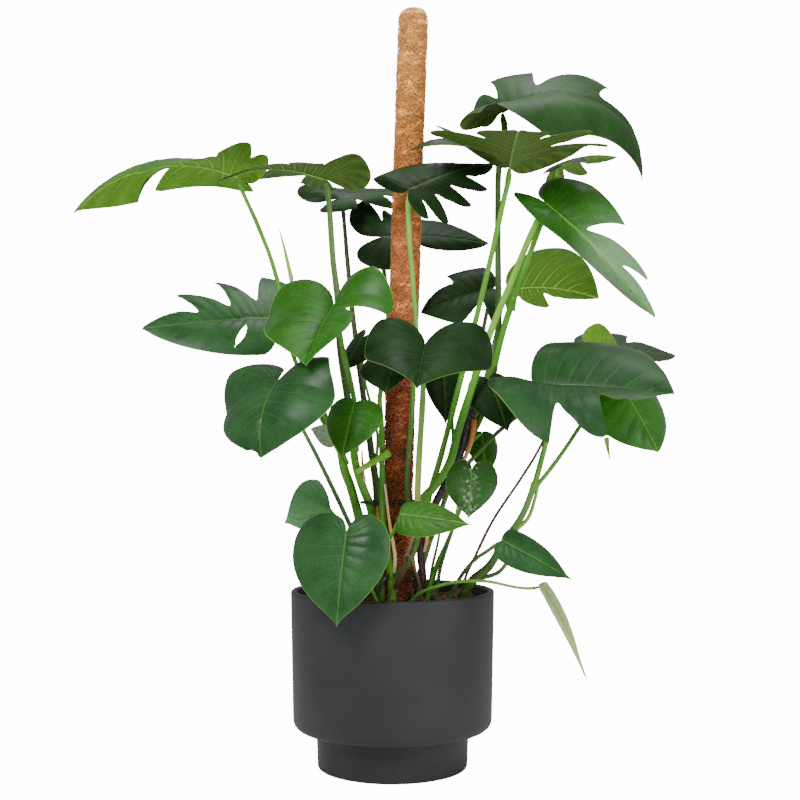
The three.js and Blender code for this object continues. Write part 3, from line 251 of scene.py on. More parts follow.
def leafPaint(finish, look, side):
    # Living leaf skin, satin wax over green tissue. The veins are lines of equal place along the margin,
    # clear near the midrib and fading out; broad patches and fine mottling vary the green.
    top = side == "top"
    name = f"{finish} leaf, waxy top" if top else f"{finish} leaf, matt underside"
    material, tree, shader = newMaterial(
        name, Roughness=look["gloss"] if top else 0.55, IOR=1.45)
    shader.inputs["Specular IOR Level"].default_value = look["shine"] if top else 0.1
    veins = addNode(tree, "UVMap", dict(uv_map="veins"))
    split = addNode(tree, "SeparateXYZ", inputs={0: veins})
    blade = addNode(tree, "UVMap", dict(uv_map="blade"))
    flat = addNode(tree, "SeparateXYZ", inputs={0: blade})
    here = addNode(tree, "TexCoord").outputs["Object"]
    tone = addNode(tree, "Attribute", dict(attribute_name="tone"))
    # Side veins: distance to the nearest whole vein number, widened towards the midrib.
    nearest = addNode(tree, "Math", dict(operation="PINGPONG"), {0: split.outputs[0], 1: 0.5})
    narrow = addNode(tree, "Math", dict(operation="SUBTRACT"), {0: 1.25, 1: split.outputs[1]})
    scaled = addNode(tree, "Math", dict(operation="DIVIDE"), {0: nearest, 1: narrow})
    line = addNode(tree, "MapRange", dict(interpolation_type="SMOOTHSTEP"),
                   {0: scaled, 1: 0.012, 2: 0.075 if top else 0.09, 3: 1.0, 4: 0.0})
    fade = addNode(tree, "MapRange", inputs={
        0: split.outputs[1], 1: 0.15, 2: 0.95, 3: 0.28 if top else 0.8, 4: 0.0})
    vein = addNode(tree, "Math", dict(operation="MULTIPLY"), {0: line, 1: fade})
    # Midrib: full to 0.5 mm from the middle line and gone at 1.6 mm; the map is in units of 100 mm.
    away = addNode(tree, "Math", dict(operation="ABSOLUTE"), {0: flat.outputs[1]})
    rib = addNode(tree, "MapRange", dict(interpolation_type="SMOOTHSTEP"),
                  {0: away, 1: 0.005, 2: 0.016, 3: 0.7 if top else 1.0, 4: 0.0})
    lines = addNode(tree, "Math", dict(operation="MAXIMUM"), {0: vein, 1: rib})
    # Broad patches about 45 mm across, and mottling of about 4 mm.
    broad = addNode(tree, "TexNoise", inputs={"Vector": here, "Scale": 22.0, "Detail": 2.0})
    fine = addNode(tree, "TexNoise", inputs={"Vector": here, "Scale": 240.0, "Detail": 3.0})
    patch = addNode(tree, "MapRange", inputs={0: broad, 1: 0.3, 2: 0.7, 3: 0.0, 4: 1.0})
    body = addNode(tree, "Mix", dict(data_type="RGBA"),
                   {0: patch, 6: linear(look["deep"] if top else look["under"]),
                    7: linear(look["top"] if top else look["under"])})
    # Tissue between two veins is a little lighter in its middle, as it is thinner there.
    between = addNode(tree, "Math", dict(operation="MULTIPLY"), {0: nearest, 1: 0.5})
    paler = addNode(tree, "Mix", dict(data_type="RGBA"),
                    {0: between, 6: body,
                     7: linear(look["top"] if top else look["ribUnder"])})
    if "splash" in look:
        # Pale flecks of about 6 mm near the midrib: noise kept where it is strong.
        fleck = addNode(tree, "TexNoise", inputs={"Vector": here, "Scale": 170.0, "Detail": 3.0})
        strong = addNode(tree, "MapRange", inputs={0: fleck, 1: 0.54, 2: 0.64, 3: 0.0, 4: 0.6})
        close = addNode(tree, "MapRange", inputs={0: away, 1: 0.03, 2: 0.16, 3: 1.0, 4: 0.0})
        kept = addNode(tree, "Math", dict(operation="MULTIPLY"), {0: strong, 1: close})
        paler = addNode(tree, "Mix", dict(data_type="RGBA"),
                        {0: kept, 6: paler, 7: linear(look["splash"])})
    if "paintedSheen" in look and top:
        # Painted grey sheen standing in for reflected light: it begins 60 mm down the blade and is full 60
        # mm on.
        outer = addNode(tree, "MapRange", inputs={0: flat, 1: 0.6, 2: 1.2, 3: 0.0, 4: 0.6})
        paler = addNode(tree, "Mix", dict(data_type="RGBA"),
                        {0: outer, 6: paler, 7: linear(look["paintedSheen"])})
    mottle = addNode(tree, "MapRange", inputs={0: fine, 1: 0.3, 2: 0.7, 3: 0.86, 4: 1.14})
    # The tone attribute lightens or darkens the whole leaf: painted light and shade.
    toned = addNode(tree, "Math", dict(operation="MULTIPLY"), {0: mottle, 1: tone.outputs["Fac"]})
    lit = addNode(tree, "HueSaturation", inputs={"Value": toned, "Color": paler})
    final = addNode(tree, "Mix", dict(data_type="RGBA"),
                    {0: lines, 6: lit,
                     7: linear(look["vein"] if top else look["ribUnder"])})
    # The last hundredth of the way from the midrib to the margin is paler: painted light shining through
    # the thin edge.
    edge = addNode(tree, "MapRange", inputs={0: split.outputs[1], 1: 0.982, 2: 0.995, 3: 0.0, 4: 0.75})
    edged = addNode(tree, "Mix", dict(data_type="RGBA"),
                    {0: edge, 6: final, 7: linear(look["margin"])})
    tree.links.new(edged.outputs[2], shader.inputs["Base Color"])
    # Relief: veins sink a fraction of a mm into the top and stand out below, with a fine pebbled skin.
    height = addNode(tree, "Math", dict(operation="MULTIPLY_ADD"),
                     {0: lines, 1: -1.0 if top else 1.0, 2: fine})
    bump = addNode(tree, "Bump", inputs={"Strength": 0.35, "Distance": 0.0005, "Height": height})
    tree.links.new(bump.outputs[0], shader.inputs["Normal"])
    rough = addNode(tree, "MapRange", inputs={
        0: broad, 1: 0.3, 2: 0.7, 3: look["gloss"] - 0.05 if top else 0.5,
        4: look["gloss"] + 0.12 if top else 0.62})
    tree.links.new(rough.outputs[0], shader.inputs["Roughness"])
    return material


def tissuePaint(name, rough, scale, colours):
    # Plain plant tissue, firm and smooth: two colours mixed by noise, with scale waves to a metre.
    material, tree, shader = newMaterial(name, Roughness=rough, IOR=1.45)
    here = addNode(tree, "TexCoord").outputs["Object"]
    noise = addNode(tree, "TexNoise", inputs={"Vector": here, "Scale": scale})
    mix = addNode(tree, "Mix", dict(data_type="RGBA"),
                  {0: noise, 6: linear(colours[0]), 7: linear(colours[1])})
    tree.links.new(mix.outputs[2], shader.inputs["Base Color"])
    return material


# The margin strip is painted paler, as light shining through the thin edge; the midrib below the blade is
# paler than the leaf.
leafPaints = {}
for finish, look in leafLooks.items():
    leafPaints[finish] = [
        leafPaint(finish, look, "top"), leafPaint(finish, look, "underside"),
        tissuePaint(f"{finish} leaf, thin margin", 0.5, 60.0, (look["top"], look["margin"])),
        tissuePaint(f"{finish} leaf, midrib", 0.42, 90.0, (look["margin"], look["ribUnder"]))]
print("leaf finishes made")


# Leaves

# Half outlines from the stalk's joint round the basal lobe to the tip:
# along the midrib in leaf lengths, and out from it in half widths.
outlines = dict(
    split=[[0, 0], [-0.08, 0.05], [-0.19, 0.18], [-0.25, 0.42], [-0.21, 0.70], [-0.06, 0.93], [0.14, 1],
           [0.36, 0.97], [0.56, 0.83], [0.74, 0.60], [0.88, 0.32], [0.96, 0.11], [1, 0]],
    heart=[[0, 0], [-0.09, 0.02], [-0.20, 0.10], [-0.28, 0.30], [-0.27, 0.56], [-0.16, 0.82], [0.04, 0.98],
           [0.27, 0.97], [0.50, 0.79], [0.71, 0.49], [0.86, 0.20], [0.94, 0.06], [1, 0]],
    young=[[0, 0], [-0.06, 0.10], [-0.12, 0.30], [-0.12, 0.55], [-0.04, 0.82], [0.10, 0.97], [0.27, 1],
           [0.46, 0.88], [0.64, 0.64], [0.79, 0.36], [0.90, 0.13], [0.96, 0.04], [1, 0]],
)

# A cut is [place along the margin 0 to 1, depth of its inner end, half opening]; a fourth value is the
# place where it closes again, which makes it a hole.
threeCuts = [[0.44, 0.42, 0.03], [0.59, 0.36, 0.035], [0.74, 0.36, 0.03]]
twoCuts = [[0.50, 0.40, 0.03], [0.68, 0.36, 0.035]]

plainLeaf = dict(
    shape="split", bend=20, fold=[0, 0], curl=[30, 30], ear=[0, 0], cuts=[[], []], taper=[0, 0],
    base=[1, 1], finish="dark", tone=1,
)

# joint: where the stalk meets the blade; heading: 0 to +X, 90 to +Y; pitch: up; roll: the left half up;
# length from the joint to the tip; wide: half widths left and right of the midrib, seen from the joint;
# bend: how far the midrib arches down; fold, curl, ear: how far each half lifts at the midrib, rolls
# down towards its margin, and lifts again beside the joint. Angles are in degrees.
# tone: a factor on the colour of the whole leaf, lighter or darker leaf by leaf for how it is lit: painted
# light and shade.
leaves = dict(
    leaf_left_high=dict(
        joint=[-224, -40, 862], heading=187, pitch=24, roll=2, length=262, wide=[90, 42], bend=76,
        fold=[5, 10], curl=[28, 40], ear=[62, 0], taper=[-0.5, -1.1], base=[0.45, 0.4],
        cuts=[[[0.38, 0.45, 0.045], [0.52, 0.42, 0.025], [0.70, 0.40, 0.02]], [[0.68, 0.35, 0.03]]],
        finish="bright", tone=0.9),
    leaf_left_inner=dict(
        joint=[-97, -60, 855], heading=205, pitch=18, roll=6, length=171, wide=[80, 80], bend=50,
        fold=[0, 18], curl=[15, 15], ear=[38, 0], base=[1.2, 0.6], cuts=[twoCuts, twoCuts]),
    leaf_rear_left=dict(
        joint=[-81, 54, 850], heading=35, pitch=16, roll=28, length=190, wide=[85, 32], ear=[20, 0],
        cuts=[twoCuts, twoCuts]),
    leaf_front_high=dict(
        joint=[25, -110, 831], heading=40, pitch=27, roll=18, length=182, wide=[76, 66], bend=14,
        fold=[22, -18], curl=[20, 42], taper=[0.55, 0], base=[0.25, 0.5], cuts=[[], [[0.40, 0.35, 0.03],
        [0.52, 0.35, 0.03], [0.64, 0.35, 0.03], [0.76, 0.40, 0.025]]], tone=0.7),
    leaf_rear_middle=dict(
        joint=[-17, 70, 792], heading=8, pitch=6, roll=45, length=176, wide=[100, 62], ear=[30, 0],
        taper=[0, 0.3], cuts=[[[0.44, 0.30, 0.03], [0.60, 0.26, 0.05]], [[0.60, 0.20, 0.08]]], tone=0.85),
    leaf_top=dict(
        joint=[160, -20, 962], heading=-24, pitch=34, roll=32, length=295, wide=[150, 104], bend=130,
        fold=[16, 8], curl=[20, 50], ear=[14, 55], taper=[0.1, 0.1], base=[0.6, 0.6],
        cuts=[[[0.42, 0.24, 0.05], [0.58, 0.20, 0.06], [0.77, 0.22, 0.085]], [[0.44, 0.40, 0.015]]],
        tone=1.6),
    leaf_front_tall=dict(
        joint=[169, -60, 873], heading=-92, pitch=5, roll=5, length=205, wide=[140, 150], bend=8,
        fold=[14, 25], curl=[22, 25], ear=[14, 28], cuts=[threeCuts, threeCuts]),
    leaf_small_high=dict(
        joint=[248, 35, 894], heading=-10, pitch=22, roll=0, length=95, wide=[60, 60], bend=30,
        cuts=[twoCuts, twoCuts], finish="mid"),
    leaf_right_hanging=dict(
        joint=[219, -90, 815], heading=-46, pitch=-36, roll=38, length=240, wide=[90, 26], bend=28,
        fold=[5, -45], curl=[20, 30], ear=[0, 45], taper=[0.4, 0.2], base=[0.9, 1.0],
        cuts=[[[0.66, 0.13, 0.06], [0.81, 0.34, 0.03]], []], finish="sheenTipped"),
    leaf_rear_right=dict(
        joint=[184, 90, 715], heading=20, pitch=10, roll=-40, length=145, wide=[38, 118], bend=40,
        base=[0.3, 0.6], cuts=[twoCuts, []], finish="bright", tone=0.72),
    leaf_rear_small=dict(
        joint=[153, 42, 709], heading=190, pitch=-10, roll=-44, length=118, wide=[68, 62], bend=25,
        fold=[20, 30], curl=[60, 60], base=[0.2, 0.3], cuts=[[[0.38, 0.30, 0.06], [0.58, 0.30, 0.06]],
        [[0.70, 0.5, 0.05]]], tone=0.85),
    leaf_rear_far_right=dict(
        joint=[325, 110, 623], heading=10, pitch=0, roll=24, length=130, wide=[65, 65], bend=10,
        fold=[12, 0], curl=[8, 30], ear=[0, 80], cuts=[twoCuts, twoCuts], finish="sheenGreyed", tone=0.84),
    leaf_right_low=dict(
        joint=[196, -150, 555], heading=-20, pitch=-1, roll=45, length=188, wide=[120, 128], bend=10,
        fold=[15, 40], curl=[45, 78], ear=[0, 30], taper=[-0.3, 0], base=[0.3, 1], cuts=[[],
        [[0.57, 0.45, 0.04], [0.73, 0.40, 0.04]]], finish="mid", tone=0.9),
    leaf_right_outer=dict(
        joint=[310, -110, 571], heading=-40, pitch=-52, roll=25, length=128, wide=[66, 60], bend=15,
        taper=[-0.3, -0.3], base=[0.6, 0.3], finish="bright", tone=1.12),
    leaf_left_middle=dict(
        joint=[-170, -30, 657], heading=198, pitch=-2, roll=-50, length=195, wide=[73, 115], bend=12,
        fold=[22, 0], curl=[40, 20], base=[0.3, 1.1], cuts=[[[0.44, 0.55, 0.02],
        [0.60, 0.22, 0.014, 0.70]], [[0.51, 0.30, 0.06], [0.65, 0.25, 0.055], [0.78, 0.30, 0.04]]],
        finish="mid", tone=1.1),
    leaf_left_front=dict(
        joint=[-82, -120, 665], heading=-107, pitch=-30, roll=0, length=138, wide=[104, 95],
        fold=[40, 35], curl=[66, 70], ear=[30, 20], cuts=[[[0.62, 0.35, 0.05]], []], finish="bright",
        tone=0.84),
    leaf_centre_front=dict(
        shape="heart", joint=[44, -190, 605], heading=-97, pitch=-25, roll=0, length=114,
        wide=[100, 86], bend=15, fold=[28, 38], curl=[80, 82], ear=[25, 25], tone=0.95),
    leaf_centre_inner=dict(
        shape="heart", joint=[11, -130, 600], heading=-110, pitch=-35, roll=0, length=85, wide=[26, 60]),
    leaf_left_low=dict(
        joint=[-155, -170, 558], heading=-116, pitch=-30, roll=8, length=123, wide=[93, 92], bend=66,
        fold=[15, 10], curl=[50, 50], ear=[20, 28], taper=[-0.25, -0.1], base=[1.5, 1.8], cuts=[[],
        [[0.90, 0.84, 0.035]]], finish="mid"),
    leaf_heart_left=dict(
        shape="heart", joint=[-53, -120, 527], heading=-118, pitch=-62, roll=-10, length=80,
        wide=[42, 42], bend=10, base=[0.6, 0.6], finish="bright", tone=1.05),
    leaf_bud_left=dict(
        shape="young", joint=[-81, -60, 484], heading=175, pitch=20, roll=60, length=40, wide=[20, 20],
        bend=10, base=[0.5, 0.5], finish="dusty", tone=1.3),
    leaf_heart_rear=dict(
        shape="heart", joint=[78, 60, 598], heading=-88, pitch=-62, roll=0, length=105, wide=[30, 32],
        bend=10),
    leaf_right_inner=dict(
        shape="heart", joint=[143, -40, 560], heading=-66, pitch=-50, roll=20, length=84, wide=[36, 38],
        bend=15),
    leaf_right_under=dict(
        shape="young", joint=[134, 20, 490], heading=-80, pitch=-60, roll=0, length=74, wide=[25, 25],
        bend=10, base=[0.4, 0.4], finish="bright"),
    leaf_heart_right=dict(
        shape="heart", joint=[110, -130, 436], heading=-103, pitch=-60, roll=0, length=70,
        wide=[37, 39], bend=15, finish="splashed", tone=0.78),
    leaf_pointed_front=dict(
        shape="young", joint=[11, -140, 377], heading=-28, pitch=-3, roll=60, length=105, wide=[29, 29],
        bend=12, base=[0.3, 0.3], finish="fresh", tone=0.7),
    leaf_low_left_rear=dict(
        shape="young", joint=[-89, -60, 381], heading=195, pitch=-15, roll=-65, length=70,
        wide=[30, 60], bend=10, base=[0.4, 0.4], finish="skyReflected", tone=1.1),
    leaf_low_front=dict(
        shape="heart", joint=[-62, -165, 352], heading=-114, pitch=-72, roll=0, length=125,
        wide=[60, 98], bend=10, base=[0.85, 0.85], finish="mid", tone=1.14),
    leaf_low_right=dict(
        shape="young", joint=[150, -150, 342], heading=-19, pitch=-25, roll=50, length=109,
        wide=[36, 26], bend=10, base=[0.3, 0.3], finish="mid"),
    leaf_runner=dict(
        shape="young", joint=[211, -80, 272], heading=-20, pitch=-55, roll=25, length=150,
        wide=[17, 15], fold=[40, 40], base=[0.2, 0.2], finish="lime"),
    leaf_centre_left=dict(
        shape="heart", joint=[-45, -20, 628], heading=200, pitch=-50, roll=-20, length=60, wide=[35, 40]),
)

# thick, edge: half the thickness inside and on the margin, in mm; droop, wave: in leaf lengths; point: how
# far a lobe is cut back at its inner corner; corner, cornerSpan: roundness of its corners; uncutDepth:
# where the rows part without a cut; quilt: height of the tissue between veins, groove: depth of the
# midrib's channel, in mm; veins: side veins of a half without cuts, lobeVeins: of a lobe; the last line
# gives the fineness of the mesh.
blade = dict(
    thick=0.5, edge=0.32, droop=0.04, wave=0.012, point=0.35, corner=0.05, cornerSpan=0.1,
    uncutDepth=0.4, quilt=0.7, groove=1.2, grooveWidth=2.5, grooveStart=12, veins=13, lobeVeins=3,
    stepsBig=76, stepsSmall=44, bigFrom=90, rowsIn=9, rowsOut=13, crowd=1.4,
)
# radius: at the places in at, 0 to 1 along the leaf, of a leaf of fullLength mm or more; sunk: in radii.
midrib = dict(at=[0, 0.3, 1], radius=[1.5, 1.0, 0.35], fullLength=130, start=2, stop=0.96, sunk=0.6,
              steps=40, sides=8)


def splineAt(outline, x):
    # Uniform Catmull-Rom value at x, 0 to 1, with the first and last points mirrored outwards.
    p = np.asarray(outline, float)
    p = np.vstack([2 * p[0] - p[1], p, 2 * p[-1] - p[-2]])
    n = len(p) - 3
    x = np.clip(x, 0, 1) * n
    i = np.minimum(x.astype(int), n - 1)
    f = (x - i)[..., None]
    p0, p1, p2, p3 = p[i], p[i + 1], p[i + 2], p[i + 3]
    return 0.5 * (2 * p1 + (p2 - p0) * f + (2 * p0 - 5 * p1 + 4 * p2 - p3) * f ** 2
                  + (3 * p1 - p0 - 3 * p2 + p3) * f ** 3)


def flatPlace(leaf, half, s, t):
    # Place in the flat leaf for margin place s and depth t, 0 on the midrib and 1 on the margin: a
    # quadratic curve from the vein's root on the midrib to the outline. Its middle point lies 0.35 of the
    # way along and 0.62 of the way out. Roots start at the joint and spread from s = 0.33 to the tip.
    along, out = np.moveaxis(splineAt(outlines[leaf["shape"]], s), -1, 0)
    root = np.clip((s - 0.33) / 0.67, 0, 1) ** 1.7
    a = (1 - t) ** 2 * root + 2 * t * (1 - t) * (root + 0.35 * (along - root)) + t * t * along
    b = 2 * t * (1 - t) * 0.62 * out + t * t * out
    taper = 1 - leaf["taper"][half] * np.clip(a, 0, 1)
    return a * leaf["length"] * np.where(a < 0, leaf["base"][half], 1), b * taper * leaf["wide"][half]


def leafAxes(leaf):
    # Along the midrib, to its left, and out of its upper face, from heading, pitch and roll.
    h, p, r = (math.radians(leaf[key]) for key in ("heading", "pitch", "roll"))
    ahead = np.array([math.cos(h), math.sin(h), 0])
    left = np.array([-math.sin(h), math.cos(h), 0])
    up = np.array([0, 0, 1])
    along = ahead * math.cos(p) + up * math.sin(p)
    normal = up * math.cos(p) - ahead * math.sin(p)
    return along, left * math.cos(r) + normal * math.sin(r), normal * math.cos(r) - left * math.sin(r)


def bentPlace(leaf, half, a, b, lift):
    # The bent leaf: the midrib is an arc, and each half folds up from it and rolls down on an arc. An
    # ear's lift is full 0.15 leaf lengths behind the joint and gone 0.25 before it.
    along, side, face = leafAxes(leaf)
    turn = math.radians(leaf["bend"]) / leaf["length"]
    ahead, fall = np.sin(turn * a) / turn, (np.cos(turn * a) - 1) / turn
    near = smooth((0.25 - a / leaf["length"]) / 0.4)
    fold = np.radians(leaf["fold"][half] + leaf["ear"][half] * near)
    curl = math.radians(leaf["curl"][half]) / leaf["wide"][half]
    out = (np.sin(fold) - np.sin(fold - curl * b)) / curl
    rise = (np.cos(fold - curl * b) - np.cos(fold)) / curl + lift
    sign = 1 if half == 0 else -1
    return (np.array(leaf["joint"]) + along * ahead[..., None] + face * fall[..., None]
            + side * sign * out[..., None]
            + (face * np.cos(turn * a)[..., None] + along * np.sin(turn * a)[..., None]) * rise[..., None])


def opening(cut, x):
    # Half width of a cut at x, 0 at its inner end and 1 on the margin: a drop shape, or a closed hole.
    if cut is None:
        return np.zeros_like(x)
    if len(cut) > 3:
        return cut[2] * np.sin(math.pi * np.clip(x / cut[3], 0, 1)) ** 0.7
    return cut[2] * np.sqrt(x) * (0.75 + 0.25 * x)


def veinNumber(leaf, half, s):
    # Veins counted along the margin, three to a lobe, so that each cut lies halfway between two.
    places = [cut[0] for cut in leaf["cuts"][half]]
    if len(places) < 2:
        return s * blade["veins"] + (0.5 - places[0] * blade["veins"] if places else 0)
    step = (places[-1] - places[0]) / (len(places) - 1)
    known = [places[0] - step, *places, places[-1] + step]
    many = blade["lobeVeins"]
    number = np.interp(s, known, np.arange(len(known)) * many + many / 2)
    number = np.where(s < known[0], many / 2 + (s - known[0]) / step * many, number)
    return np.where(s > known[-1], number + (s - known[-1]) / step * many, number)


def bladeGrid(leaf):
    # Grids of one sheet, cut along the side veins: for each half and lobe, a row of veins by a row of
    # depths. A lobe droops by the square of its depth, and the margin waves.
    edges = [0, *sorted({cut[0] for cuts in leaf["cuts"] for cut in cuts}), 1]
    steps = blade["stepsBig"] if leaf["length"] > blade["bigFrom"] else blade["stepsSmall"]
    x = np.linspace(0, 1, blade["rowsOut"] + 1) ** blade["crowd"]
    rows = np.concatenate([np.linspace(0, 0.5, blade["rowsIn"]), 0.5 + 0.5 * x[1:]])
    x = np.clip(2 * rows - 1, 0, 1)
    grids = []
    for half in (0, 1):
        cutAt = {cut[0]: cut for cut in leaf["cuts"][half]}
        lobe = 0
        for start, stop in zip(edges[:-1], edges[1:]):
            before, after = cutAt.get(start), cutAt.get(stop)
            lobe += 1 if before is not None and len(before) == 3 else 0
            f = np.linspace(0, 1, max(3, round(steps * (stop - start))) + 1)[:, None]
            depths = [cut[1] if cut else blade["uncutDepth"] for cut in (before, after)]
            inner = depths[0] * (1 - f) + depths[1] * f
            first, last = opening(before, x), opening(after, x)
            s = start + first + (stop - start - first - last) * f
            t = np.where(rows <= 0.5, 2 * inner * rows, inner + (1 - inner) * x)
            # Each lobe is cut back at its inner corner, and both its corners are round.
            if before is not None and len(before) == 3:
                t = t * (1 - blade["point"] * (1 - f) ** 2 * x)
                t = t - blade["corner"] * x * np.exp(-(f / blade["cornerSpan"]) ** 2)
            if after is not None and len(after) == 3:
                t = t - blade["corner"] * x * np.exp(-((1 - f) / blade["cornerSpan"]) ** 2)
            a, b = flatPlace(leaf, half, s, t)
            outer = np.clip((t - inner) / (1 - inner), 0, 1)
            sign = 1 if half == 0 else -1
            ends = smooth(s / 0.2) * smooth((1 - s) / 0.25)
            uneven = 1 + 0.5 * np.sin(2.4 * lobe + sign)
            droop = blade["droop"] * leaf["length"] * outer ** 2 * uneven * ends
            number = veinNumber(leaf, half, s)
            ridge = (0.5 + 0.5 * np.cos(2 * math.pi * number)) ** 3
            ridge = ridge * smooth(t / 0.15) * smooth((1 - t) / 0.35)
            groove = np.exp(-(b / blade["grooveWidth"]) ** 2) * blade["groove"]
            groove = groove * smooth(a / blade["grooveStart"])
            wave = blade["wave"] * leaf["length"] * t ** 2 * np.sin(9 * s + leaf["heading"])
            wave = wave * smooth((s - 0.1) / 0.2) * smooth((0.97 - s) / 0.1)
            lift = -droop - blade["quilt"] * ridge - groove + wave
            place = bentPlace(leaf, half, a, b, lift)
            grids.append((half, a, sign * b, number, t, place))
    return grids


def bladeShell(leaf):
    # The sheet's grids welded at equal flat places, then offset both ways and closed by a margin strip.
    flats, places, veins, faces, start = [], [], [], [], 0
    for half, a, b, number, t, place in bladeGrid(leaf):
        quads = gridFaces(*a.shape) + start
        corners = np.vstack([quads[:, [0, 1, 2]], quads[:, [0, 2, 3]]])
        faces.append(corners if half == 1 else corners[:, ::-1])
        flats.append(np.stack([a, b], -1).reshape(-1, 2))
        veins.append(np.stack([number, t], -1).reshape(-1, 2))
        places.append(place.reshape(-1, 3))
        start += a.size
    flats, veins, places, faces = (np.vstack(rows) for rows in (flats, veins, places, faces))
    _, firsts, same = np.unique(np.round(flats, 2), axis=0, return_index=True, return_inverse=True)
    same = same.ravel()
    welded = same[faces]
    whole = (welded[:, 0] != welded[:, 1]) & (welded[:, 1] != welded[:, 2]) & (welded[:, 2] != welded[:, 0])
    faces, welded = faces[whole], welded[whole]
    mid = places[firsts]
    cross = np.cross(mid[welded[:, 1]] - mid[welded[:, 0]], mid[welded[:, 2]] - mid[welded[:, 0]])
    normals = [np.bincount(welded.ravel(), np.repeat(cross[:, k], 3), len(mid)) for k in range(3)]
    normals = np.stack(normals, 1)
    normals /= np.linalg.norm(normals, axis=1, keepdims=True) + 1e-12
    # A directed edge with no edge back lies on the margin.
    tails, heads = welded.ravel(), welded[:, [1, 2, 0]].ravel()
    free = ~np.isin(tails * len(mid) + heads, heads * len(mid) + tails)
    m, n = tails[free], heads[free]
    thick = np.full(len(mid), float(blade["thick"]))
    thick[m] = blade["edge"]
    count = len(mid)
    points = np.vstack([mid + normals * thick[:, None], mid - normals * thick[:, None]])
    rim = np.stack([m, m + count, n + count, n], 1)
    corners = np.concatenate([welded.ravel(), (welded[:, [0, 2, 1]] + count).ravel(), rim.ravel()])
    counts = np.concatenate([np.full(2 * len(welded), 3), np.full(len(rim), 4)])
    paintOf = np.concatenate([np.zeros(len(welded)), np.ones(len(welded)), np.full(len(rim), 2)])
    flatMap = flats * 0.01  # in units of 100 mm
    cornerMaps = []
    for values in (veins, flatMap):
        margin = np.zeros((rim.size, 2))
        cornerMaps.append(np.vstack([values[faces.ravel()], values[faces[:, [0, 2, 1]].ravel()], margin]))
    return points, corners, counts, paintOf, cornerMaps


def midribTube(leaf):
    # A round rib under the midrib that thins towards the tip; it follows the same arc.
    a = np.linspace(midrib["start"], leaf["length"] * midrib["stop"], midrib["steps"])
    thick = np.interp(a / leaf["length"], midrib["at"], midrib["radius"])
    thick = thick * min(1, leaf["length"] / midrib["fullLength"])
    groove = blade["groove"] * smooth(a / blade["grooveStart"])
    centres = bentPlace(leaf, 0, a, np.zeros_like(a), -groove - thick * midrib["sunk"])
    return tube(centres, thick, midrib["sides"], leafAxes(leaf)[1])


for name, given in leaves.items():
    leaf = {**plainLeaf, **given}
    points, corners, counts, paintOf, maps = bladeShell(leaf)
    rib = midribTube(leaf)
    allPoints, allCorners, allCounts = joinParts([(points, corners, counts), rib[:3]])
    ribMap = np.zeros((len(rib[1]), 2))
    piece = makePiece(
        name + "_blade", allPoints, allCorners, allCounts, leafPaints[leaf["finish"]],
        leafLooks[leaf["finish"]]["slot"], np.concatenate([paintOf, np.full(len(rib[2]), 3)]),
        dict(veins=np.vstack([maps[0], ribMap]), blade=np.vstack([maps[1], ribMap])),
        np.full(len(allPoints), leaf["tone"]))
    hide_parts(name)
print("leaves made")


# Stalks

# What each kind of stalk looks like, from its top to its foot.
stalkLooks = dict(
    green=dict(real="living stalk, satin skin", gloss=0.38,
               stops=[(0, "#66ab30"), (0.5, "#488a22"), (1, "#649c34")]),
    deep=dict(real="old shaded stalk, satin skin", gloss=0.36,
              stops=[(0, "#5f8a3f"), (0.5, "#41602f"), (1, "#4a6c2c")]),
    purple=dict(real="old dusky stalk, satin skin", gloss=0.34,
                stops=[(0, "#4a4a34"), (0.5, "#40502d"), (1, "#44602f")]),
    plum=dict(real="black purple stem, satin skin", gloss=0.34,
              stops=[(0, "#35303a"), (0.35, "#2f2a31"), (0.6, "#4d3a34"), (1, "#5f4438")]),
    lime=dict(real="young stalk, satin skin", gloss=0.36,
              stops=[(0, "#7fc038"), (0.5, "#72b432"), (1, "#9cc650")]),
    sheath=dict(real="broad leaf sheath, satin skin", gloss=0.38,
                stops=[(0, "#74b038"), (0.4, "#74b038"), (0.7, "#488626"), (1, "#5b8c2e")]),
    yellowing=dict(real="leaf sheath turning yellow, satin skin", gloss=0.4, stops=[
        (0, "#4f7a38"), (0.35, "#6f9a40"), (0.55, "#a9bb58"), (0.68, "#4f7032"), (1, "#6c9a3c")]),
    fading=dict(real="stalk that darkens to its foot, satin skin", gloss=0.36,
                stops=[(0, "#7fb84a"), (0.5, "#6aa83e"), (0.75, "#46692f"), (1, "#37502a")]),
    dried=dict(real="dried leaf sheath, papery", gloss=0.7,
               stops=[(0, "#b5652a"), (0.6, "#c98a45"), (1, "#e6d2a4")]),
    pale=dict(real="dried pale sheath, papery", gloss=0.7,
              stops=[(0, "#d9c9a8"), (0.5, "#d3a24e"), (1, "#d8cfa0")]),
    root=dict(real="aerial root, matt bark", gloss=0.75,
              stops=[(0, "#8a6a50"), (0.5, "#6b4a3c"), (1, "#4d352c")]),
    runner=dict(real="thin runner, satin skin", gloss=0.4,
                stops=[(0, "#7fbf3a"), (0.6, "#5c8f35"), (1, "#3f5f2a")]),
    red=dict(real="reddish old stalk, satin skin", gloss=0.4,
             stops=[(0, "#4f6a38"), (0.5, "#5b3a30"), (1, "#7a3a2c")]),
)


